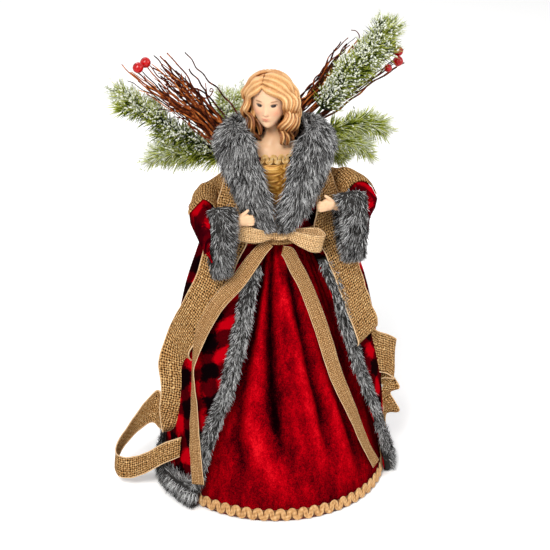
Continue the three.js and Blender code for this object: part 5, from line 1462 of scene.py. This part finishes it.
# Height, place aside and up, half width and half height, in shares of the head. True puts it on both sides.
middle = -0.018
features = [
    (0.012, 0.07, 0.24, 0.13, 0.1, True), (0.014, 0.135, 0.085, 0.08, 0.028, True),
    (-0.026, 0.14, 0.02, 0.075, 0.05, True), (0.02, 0.14, 0.02, 0.055, 0.036, True),
    (0.022, 0.19, -0.13, 0.1, 0.1, True), (0.016, middle, 0.0, 0.034, 0.09),
    (0.04, middle, -0.1, 0.038, 0.06), (0.05, middle, -0.148, 0.036, 0.03),
    (0.02, middle + 0.036, -0.162, 0.018, 0.018), (0.02, middle - 0.036, -0.162, 0.018, 0.018),
    (-0.012, middle, -0.21, 0.05, 0.018), (0.024, middle, -0.276, 0.075, 0.034),
    (0.012, middle + 0.02, -0.256, 0.024, 0.012), (0.012, middle - 0.02, -0.256, 0.024, 0.012),
    (-0.018, middle, -0.273, 0.066, 0.007), (0.014, middle, -0.295, 0.04, 0.014),
    (-0.014, middle, -0.34, 0.06, 0.02), (0.022, middle, -0.43, 0.075, 0.05),
]
eye_aside = 0.14
from_eye = np.abs(fx) - eye_aside
push = sum(height * bump(*place) for height, *place in features)
push = push + 0.008 * arc(0.046, -4.2, 0.007) * (np.abs(from_eye) < 0.062)
front = np.clip(-y * 3, 0, 1)
face_points = np.stack([fx, fy - push * front, fz], -1)

eye = (from_eye / 0.06) ** 2 + ((fz - 0.012) / 0.034) ** 2
iris = ((np.abs(fx) - 0.138) / 0.05) ** 2 + ((fz - 0.016) / 0.034) ** 2
tints = [
    ((234, 150, 116), 0.6 * bump(0.19, -0.14, 0.1, 0.09, True)),
    # Painted shade in the eye sockets
    ((206, 148, 110), 0.4 * bump(0.14, 0.035, 0.08, 0.05, True)),
    # Painted shadow under the nose
    ((224, 160, 124), 0.5 * bump(middle, -0.178, 0.05, 0.014)),
    # Painted shade down the sides of the face
    ((222, 160, 122), 0.5 * bump(0.3, -0.1, 0.06, 0.3, True)),
    ((206, 110, 88), 0.95 * bump(middle, -0.256, 0.068, 0.017)),
    ((212, 118, 96), 0.95 * bump(middle, -0.294, 0.056, 0.019)),
    ((150, 66, 54), 0.9 * bump(middle, -0.274, 0.058, 0.006)),
    ((136, 84, 50), 0.9 * arc(0.106, -1.8, 0.013) * beside(0.15, 0.075, 4)),
    ((226, 206, 186), np.clip((1 - eye) * 6, 0, 1)),
    ((22, 10, 5), np.clip((1 - iris) * 6, 0, 1) * np.clip((1.2 - eye) * 8, 0, 1)),
    # Painted highlights in the eyes
    ((250, 240, 226), 0.6 * bump(0.126, 0.026, 0.006, 0.006) + 0.6 * bump(-0.15, 0.026, 0.006, 0.006)),
    ((30, 14, 8), arc(0.043, -4.2, 0.014) * beside(0.143, 0.07, 6)),
    ((150, 96, 68), 0.7 * arc(-0.015, 5.0, 0.005) * beside(0.14, 0.05, 4)),
]
skin = np.broadcast_to(np.array(srgb((240, 198, 160))), fx.shape + (3,))
for colour, share in tints:
    share = np.clip(share * front, 0, 1)[..., None]
    skin = skin * (1 - share) + np.array(srgb(colour)) * share
face_paint = np.concatenate([skin.reshape(-1, 3), skin[0, :1], skin[-1, :1]])
points, quads, caps = ring_body(face_points)
face = piece("face", on_head(points), quads, caps, paint=face_paint)
dress(face, bisque, "figure", "bisque", "head_and_bust")

# Hair: a moulded cap with combed grooves, and waved locks that fall to the shoulders
hv, hu = np.meshgrid(np.linspace(0.02, 0.98, 130), np.linspace(0, 1, 241)[:-1], indexing="ij")
turn, rise = hu * 2 * math.pi, (0.5 - hv) * math.pi
outward = np.stack([np.sin(turn) * np.cos(rise), -np.cos(turn) * np.cos(rise), np.sin(rise)], -1)
x, y, z = np.moveaxis(outward * np.array([0.415, 0.38, 0.405]) + np.array([0, 0.08, 0.1]), -1, 0)
low = z < 0.1
z = np.where(low, 0.1 + (z - 0.1) * 1.55, z)
y = np.where(low & (y < 0.08), 0.08 + (y - 0.08) * 0.72, y)
open_face = np.exp(-(((x + 0.015) / 0.29) ** 4)) * np.clip((-y + 0.02) * 6, 0, 1)
open_face = open_face * np.clip((0.33 - z) * 9, 0, 1)
cap_middle = np.array([0, 0.1, 0.05])
cap = cap_middle + (np.stack([x, y, z], -1) - cap_middle) * (1 - 0.5 * open_face)[..., None]
x, y, z = np.moveaxis(cap, -1, 0)
strand = np.cos(46 * y + 9 * np.abs(x + 0.1) + 2.0 * np.sin(9 * z))
parting = np.exp(-(((x + 0.1 - 0.12 * (y + 0.3)) / 0.022) ** 2)) * (z > 0.2)
# Painted shade: darker in the combed grooves and down the parting, lighter on the raised strands
groove_shade = 0.5 + 0.3 * strand - 0.8 * parting
cap = cap + outward * (0.008 * strand - 0.02 * parting)[..., None]
parts = [(*ring_body(cap, turned=True), np.concatenate([groove_shade.ravel() * 0.6, [0.3, 0.3]]))]

# Locks that frame the face, point by point, then the ones behind them by azimuth
front_locks = [
    ([[-0.1, -0.24, 0.39], [0.0, -0.315, 0.35], [0.13, -0.335, 0.305], [0.27, -0.29, 0.21],
      [0.36, -0.24, 0.06], [0.385, -0.21, -0.1], [0.345, -0.23, -0.3], [0.28, -0.26, -0.48],
      [0.235, -0.27, -0.62], [0.27, -0.26, -0.76], [0.35, -0.22, -0.86]], 0.07),
    ([[-0.09, -0.16, 0.45], [0.06, -0.24, 0.45], [0.24, -0.24, 0.36], [0.38, -0.18, 0.2],
      [0.45, -0.15, 0.02], [0.47, -0.14, -0.16], [0.43, -0.17, -0.36], [0.37, -0.2, -0.54],
      [0.34, -0.21, -0.68], [0.37, -0.19, -0.82], [0.41, -0.15, -0.92]], 0.085),
    ([[-0.08, -0.07, 0.49], [0.09, -0.13, 0.5], [0.29, -0.14, 0.41], [0.43, -0.09, 0.23],
      [0.51, -0.07, 0.03], [0.535, -0.06, -0.17], [0.51, -0.09, -0.38], [0.47, -0.12, -0.56],
      [0.45, -0.12, -0.72], [0.45, -0.1, -0.86]], 0.09),
    ([[-0.07, 0.03, 0.51], [0.11, 0, 0.53], [0.32, 0, 0.43], [0.46, 0.02, 0.24], [0.53, 0.03, 0.03],
      [0.56, 0.03, -0.18], [0.55, 0, -0.4], [0.52, -0.03, -0.58], [0.5, -0.03, -0.78]], 0.1),
    ([[-0.1, -0.25, 0.39], [-0.19, -0.315, 0.325], [-0.3, -0.28, 0.22], [-0.375, -0.22, 0.07],
      [-0.4, -0.19, -0.08], [-0.375, -0.19, -0.24], [-0.335, -0.2, -0.38], [-0.31, -0.21, -0.5],
      [-0.27, -0.21, -0.6]], 0.06),
    ([[-0.11, -0.15, 0.45], [-0.25, -0.19, 0.39], [-0.38, -0.14, 0.22], [-0.44, -0.11, 0.04],
      [-0.44, -0.1, -0.16], [-0.4, -0.1, -0.36], [-0.35, -0.11, -0.54], [-0.3, -0.13, -0.7],
      [-0.26, -0.15, -0.82], [-0.23, -0.14, -0.9]], 0.08),
    ([[-0.1, -0.04, 0.49], [-0.26, -0.08, 0.44], [-0.4, -0.03, 0.25], [-0.47, -0.01, 0.03],
      [-0.47, 0, -0.18], [-0.44, 0, -0.4], [-0.4, 0, -0.6], [-0.36, 0, -0.78]], 0.095),
    ([[-0.26, -0.04, 0.2], [-0.32, -0.06, 0.0], [-0.33, -0.06, -0.2], [-0.29, -0.08, -0.4],
      [-0.24, -0.11, -0.58], [-0.2, -0.13, -0.72]], 0.1),
    ([[0.26, -0.04, 0.2], [0.33, -0.06, 0.0], [0.35, -0.07, -0.2], [0.32, -0.09, -0.4],
      [0.28, -0.12, -0.6], [0.3, -0.13, -0.76]], 0.1),
]
snug = np.array([0.93, 1, 0.95])
lock_lines = []
for k, (points, width) in enumerate(front_locks):
    near_face = k in (0, 4)
    line = curve(np.array(points) * (1 if near_face else snug))
    lock_lines.append((line, width * (1 if near_face else 0.9), 0.9 * k))
back_azimuths = [98, 114, 130, 147, 164, 180, 196, 212, 229, 246, 262]
back_rows = [
    [0.27, 0.43], [0.41, 0.27], [0.49, 0.05], [0.51, -0.2], [0.5, -0.45], [0.47, -0.68], [0.43, -0.84],
]
for k, azimuth in enumerate(back_azimuths):
    a = azimuth * degrees
    line = [[-0.06 * abs(math.sin(a)), 0.1 + 0.1 * math.sin(a / 2), 0.47]]
    for radius, height in back_rows:
        line.append([radius * math.sin(a), 0.07 - radius * 0.92 * math.cos(a), height])
    lock_lines.append((curve(line), 0.1, 0.7 * k + 0.4))
lock_waves, lock_steps, lock_sides = 15, 96, 30
for line, width, phase in lock_lines:
    t = np.linspace(0, 1, lock_steps)
    points = line(t)
    outward = unit((points - np.array([0, 0.06, 0])) * np.array([1, 1, 0.25]))
    level = unit(np.cross(outward, up))
    grow = np.clip((t - 0.2) / 0.3, 0, 1)
    angle = points[:, 2] * lock_waves + phase
    wave = np.sin(angle)
    swing, sway = 0.04 * wave * grow, 0.055 * np.cos(angle) * grow
    points = points + outward * swing[:, None] + level * sway[:, None]
    wide = width * np.interp(t, [0, 0.12, 0.5, 0.85, 1], [0.5, 0.95, 1.05, 0.85, 0.3])
    thick = width * np.interp(t, [0, 0.15, 0.5, 0.85, 1], [0.3, 0.42, 0.62, 0.6, 0.25])
    p, q, f, tone = tube(points, wide, lock_sides, flat=thick, reference=outward, ridges=1.6, ridge=0.2)
    # Painted light and shade on each lock: lighter on its ridges, on its outer face and on the crests of its
    # waves, darker on the side towards the head and in the troughs; it also darkens towards its lower end
    outer_face_light = np.sin(np.tile(np.arange(lock_sides) * 2 * math.pi / lock_sides, lock_steps))
    down = np.repeat(0.14 * wave * grow - 0.4 * np.clip((t - 0.45) * 1.7, 0, 1), lock_sides)
    ridge_tone = np.repeat(0.1 + 0.2 * grow, lock_sides) * tone[:-2]
    parts.append((p, q, f, np.concatenate([0.4 + ridge_tone + 0.24 * outer_face_light + down, [0.3, 0.3]])))
p, q, f, tone = gather(parts)
hair = piece("hair", on_head(p), q, f, tones=tone)
dress(hair, hair_paint, "figure", "bisque")

# Wings of twigs, berries and pine. Places are shares of the wing's span aside, back and up from the
# block's top, and a tip with a berry has its radius in millimetres behind them.
wing_span, block_height, block_depth, clearance = 100, 14, 5, 0.3
block_top = float(height_at(1.8))
block_base = float(coat_radius(180.0, float(level_at(block_top - block_height))))
wing_back = block_base + cloth / 2 + clearance + block_depth + clearance


def wing_place(aside, back, rise):
    return np.array([aside * wing_span, wing_back + back * wing_span, block_top + rise * wing_span])


left_tips = [
    [-1.22, 0.06, 0.84], [-1.089, 0.0, 0.824, 4.6], [-1.012, 0.09, 0.836, 4.6], [-0.94, 0.08, 0.9],
    [-0.83, 0.04, 0.92], [-0.67, 0.07, 0.91], [-0.65, 0.03, 0.77], [-1.09, 0.06, 0.69], [-1.04, 0.09, 0.63],
    [-0.9, 0.02, 0.8],
]
left_hook = [
    [-0.579, 0.06, 0.588], [-0.545, 0.06, 0.514], [-0.511, 0.06, 0.493], [-0.476, 0.06, 0.5],
    [-0.449, 0.06, 0.535], [-0.44, 0.06, 0.565], [-0.46, 0.06, 0.575], [-0.468, 0.06, 0.55],
    [-0.45, 0.06, 0.55],
]
right_tips = [
    [0.803, 0.24, 0.886], [0.86, 0.22, 0.9], [0.94, 0.24, 0.877], [0.9, 0.27, 0.86], [1.329, 0.28, 0.733],
    [1.26, 0.22, 0.653, 4.6], [1.276, 0.28, 0.725, 4.6], [1.21, 0.22, 0.775, 3.6], [1.151, 0.16, 0.614, 3.6],
    [1.332, 0.26, 0.622], [1.216, 0.3, 0.795], [1.25, 0.2, 0.6],
]
right_hook = [
    [0.83, 0.24, 0.72], [0.886, 0.24, 0.827], [0.905, 0.24, 0.898], [0.875, 0.24, 0.945],
    [0.829, 0.24, 0.957],
]


def frame_about(way, hint):
    """Two directions square to a way, the first of them square to a hint as well."""
    first = unit(np.cross(way, hint))
    return first, np.cross(way, first)


def toned(part, tone):
    """A part in one tone."""
    return (*part[:3], np.full(len(part[0]), tone))


def berry(name, body, centre, size, stalk):
    """A round berry, and the five points of the dried star at its crown."""
    crown = -stalk
    first, second = frame_about(crown, [0.2, 0.9, 0.3])
    v, u = np.meshgrid(np.linspace(0.02, math.pi - 0.02, 28), np.arange(32) * 2 * math.pi / 32, indexing="ij")
    swollen = size * (1 - 0.1 * np.exp(-((v / 0.3) ** 2)) + 0.015 * np.sin(5 * u) * np.sin(v))
    upright, ahead, aside = np.cos(v), np.sin(v) * np.cos(u), np.sin(v) * np.sin(u)
    grid = centre + (upright * swollen)[..., None] * crown + (ahead * swollen)[..., None] * first
    grid = grid + (aside * swollen)[..., None] * second
    made = piece(name, *ring_body(grid, turned=True))
    dress(made, berry_gloss, body, "berry_gloss", name)
    stars = []
    for k in np.arange(5) * 2 * math.pi / 5:
        point = (first * math.cos(k) + second * math.sin(k)) * size * 0.28
        star = np.stack([centre + crown * size * 0.88, centre + crown * size * 0.93 + point])
        stars.append(toned(tube(star, [0.3, 0.12], 5), 0.1))
    return stars


def binding(foot, bound):
    """Wire that binds the bundle."""
    turns = np.linspace(0, 2 * math.pi * 5, 150)
    way = unit(bound - foot)
    first, second = frame_about(way, up)
    coil = 6.4 * (first * np.cos(turns)[:, None] + second * np.sin(turns)[:, None])
    return tube(foot + (bound - foot) * 0.5 + way * (turns[:, None] * 0.24) + coil, 0.45, 6)


def twigs(name, side, tips, extra_count, dense_at, hook):
    rng = np.random.default_rng(7 + side)
    back = tips[0][1] - 0.06
    foot = wing_place(side * 0.12, 0.052, -0.02)
    bound = wing_place(side * 0.33, 0.07 + back / 2, 0.16)
    ends = np.array([wing_place(*tip[:3]) for tip in tips])
    side_way = unit(np.cross(unit(ends.mean(0) - bound), [0, 1.0, 0]))
    places = [(end, tip[3] if len(tip) > 3 else 0) for end, tip in zip(ends, tips)]
    dense = ends[dense_at]
    for _ in range(extra_count):
        end = dense[rng.integers(0, len(dense))] + side_way * rng.normal() * 4
        end = end + np.array([0, rng.normal() * 3, 0])
        places.append((bound + (end - bound) * rng.uniform(0.6, 0.97), 0))
    t = np.linspace(0, 1, 44)
    parts = []
    for i, (tip, size) in enumerate(places):
        turn = i * 137.5 * degrees
        spread = 4.4 * math.sqrt((i % 24 + 0.5) / 24)
        begin = foot + np.array([spread * math.cos(turn), spread * math.sin(turn), 0])
        aside = float(np.clip((tip - bound) @ side_way * 0.4, -9, 9)) + rng.normal() * 4
        tied = bound + side_way * aside + np.array([0, rng.uniform(-3.5, 3.5), 0])
        centre, stalk = tip, unit(tied - tip)
        if size:
            tip = tip + stalk * (size * 0.96)
        bow = rng.normal(size=3) * 2.2
        line = curve([begin, tied, tied * 0.62 + tip * 0.38 + bow, tied * 0.3 + tip * 0.7 - bow * 0.7, tip])
        knots = 1 + 0.25 * np.clip(np.sin(t * rng.uniform(30, 44) + i), 0.6, 1) + 0.05 * np.sin(t * 90 + i)
        thick = 0.6 if size else rng.uniform(0.4, 0.85)
        radius = thick * np.interp(t, [0, 0.5, 1], [1.15, 1.0, 0.65]) * knots
        crooked = np.stack([np.sin(t * 38 + i), np.sin(t * 29 + 2 * i), np.sin(t * 33 + 3 * i)], -1)
        twig = [tube(line(t) + 0.5 * crooked, radius, 7)]
        if i % 3 == 0 and not size:
            root = line(np.array(rng.uniform(0.6, 0.82)))
            off = unit(tip - tied) + side_way * rng.choice([-0.55, 0.55])
            off = unit(off + np.array([0, rng.normal() * 0.2, 0]))
            fork = root + off * np.linspace(0, rng.uniform(10, 20), 12)[:, None]
            twig.append(tube(fork, np.linspace(0.6, 0.35, 12), 6))
        for p, q, f, _ in twig:
            parts.append((p, q, f, 0.75 * rng.random() ** 1.4 + 0.34 * ripple(p, 4, i)))
        if size:
            parts += berry(f"berry_{name}_{i}", "wing_" + name, centre, size, stalk)
    hook_line = curve([wing_place(*point) for point in hook])(np.linspace(0, 1, 60))
    parts.append(toned(tube(hook_line, np.linspace(0.65, 0.4, 60), 6), 0.3))
    parts.append(toned(binding(foot, bound), 0.15))
    p, q, f, tone = gather(parts)
    bundle = piece("twig_bundle_" + name, p, q, f, tones=tone)
    dress(bundle, twig_wood, "wing_" + name, "twig_wood", "twig_bundle_" + name)


twigs("left", -1, left_tips, 52, [0, 1, 2, 3, 7, 8, 9, 3], left_hook)
twigs("right", 1, right_tips, 30, [0, 1, 2, 3, 1, 2, 4, 7], right_hook)

# Pine. A row holds the places of the sprig's start, middle and tip, then its count of needles, snow,
# needle length, side shoots and tone.
left_pine = [
    [-0.36, 0.2, -0.07, -0.85, 0.24, 0.23, -1.2, 0.24, 0.52, 1000, 0.6, 18, 3, 0.44],
    [-0.34, 0.2, -0.12, -0.68, 0.24, -0.06, -0.88, 0.24, -0.03, 760, 0.2, 18, 3, 0.66],
    [-0.3, 0.2, 0.12, -0.28, 0.22, 0.28, -0.25, 0.24, 0.38, 520, 0.4, 17, 2, 0.62],
]
right_pine = [
    [0.5, 0.05, 0.3, 0.84, 0.05, 0.68, 1.13, 0.05, 0.99, 1350, 0.6, 18, 5, 0.42],
    [0.58, 0.05, 0.12, 0.86, 0.05, 0.15, 1.05, 0.05, 0.14, 640, 0.04, 17, 2, 0.68],
    [0.56, 0.05, 0.03, 0.74, 0.05, 0, 0.9, 0.05, -0.03, 580, 0.04, 16, 2, 0.68],
    [0.52, 0.05, -0.02, 0.62, 0.05, -0.07, 0.7, 0.05, -0.13, 600, 0.15, 13, 0, 0.52],
]
bark = 0.12


def side_shoot(rng, main, share, turned):
    """A short shoot to one side of the stem."""
    origin = main(share)
    way = unit(main(min(1, share + 0.05)) - main(share - 0.05))
    swing = turned * rng.uniform(0.45, 0.7)
    plane = np.array([way[2], 0.0, -way[0]])
    reach = rng.uniform(11, 18)
    off = unit(way + plane * swing + np.array([0, rng.uniform(-0.25, 0.25), 0]))
    return curve([origin, origin + off * reach * 0.5 + way * 1.5, origin + off * reach + way * 5])


def needles(rng, line, count, length, snow, tone, seed):
    """Needles round a stem, and the flakes of snow that lie on them."""
    share = np.clip(np.sort(rng.random(count)) ** 0.9, 0.03, 0.995)
    roots = line(share)
    way = unit(line(np.minimum(share + 0.02, 1)) - line(np.maximum(share - 0.02, 0)))
    first, second = frame_about(way, np.array([0.3, 1.0, 0.2]))
    turn = rng.random(count) * 2 * math.pi
    outward = first * np.cos(turn)[:, None] + second * np.sin(turn)[:, None]
    lean = np.clip(rng.normal(50, 13, count), 18, 80) * degrees
    lean = lean * np.interp(share, [0, 0.85, 1], [1.1, 0.9, 0.45])
    ways = way * np.cos(lean)[:, None] + outward * np.sin(lean)[:, None]
    ways = unit(ways + rng.normal(size=(count, 3)) * 0.07)
    lengths = length * rng.uniform(0.75, 1.2, count)
    snow = snow * np.clip(0.45 + 0.4 * ways[:, 2] + 0.6 * ripple(roots, 14, seed), 0, 1)
    tone = tone - 0.2 + np.where(rng.random(count) < 0.35, -0.2, rng.uniform(-0.02, 0.2, count))
    tone = tone + 0.16 * np.interp(share, [0, 0.6, 1], [-0.6, 0, 1])
    bends = -up * (lengths * 0.06)[:, None]
    green = strands(roots, ways, lengths, 1.0, bends, tone, rise=0.52)
    chosen = np.concatenate([np.flatnonzero(rng.random(count) < snow) for _ in range(3)])
    specks = len(chosen)
    along = (lengths[chosen] * rng.uniform(0.2, 0.8, specks))[:, None]
    resting = roots[chosen] + ways[chosen] * along + 0.4 * up
    ways = unit(ways[chosen] + rng.normal(size=(specks, 3)) * 0.7)
    lengths, white = rng.uniform(1.8, 3.6, specks), rng.uniform(0.8, 1.0, specks)
    return green, strands(resting, ways, lengths, 2.0, ways * 0, white, rise=0.0)


def sprigs(name, side, rows):
    rng = np.random.default_rng(77 + side)
    foot, heel = wing_place(side * 0.1, 0.015, -0.12), wing_place(side * 0.2, 0.015, -0.1)
    bend = wing_place(side * 0.26, rows[0][1] - 0.02, -0.02)
    parts = []
    for number, row in enumerate(rows):
        start, middle, tip = (wing_place(*row[k:k + 3]) for k in (0, 3, 6))
        count, snow, length, shoots, tone = row[9:]
        main = curve([start, middle, tip])
        t = np.linspace(0, 1, 60)
        stem = curve([foot, heel, bend, start, main(0.2), middle, main(0.8), tip])(t)
        parts.append(toned(tube(stem, np.interp(t, [0, 0.4, 1], [1.5, 1.4, 0.7]), 8), bark))
        lines = [(main, count, length)]
        for k in range(shoots):
            shoot = side_shoot(rng, main, 0.2 + 0.6 * (k + 0.5) / shoots, 1 if k % 2 else -1)
            parts.append(toned(tube(shoot(np.linspace(0, 1, 16)), np.linspace(1.0, 0.6, 16), 6), bark))
            lines.append((shoot, count // 6, length * 0.85))
        for line, needle_count, needle_length in lines:
            parts += needles(rng, line, needle_count, needle_length, snow, tone, 12 + number)
    p, q, f, tone = gather(parts)
    made = piece("pine_sprigs_" + name, p, q, f, tones=tone)
    dress(made, pine_plastic, "wing_" + name, "pine_plastic", "pine_sprigs_" + name)


sprigs("left", -1, left_pine)
sprigs("right", 1, right_pine)

low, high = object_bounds()
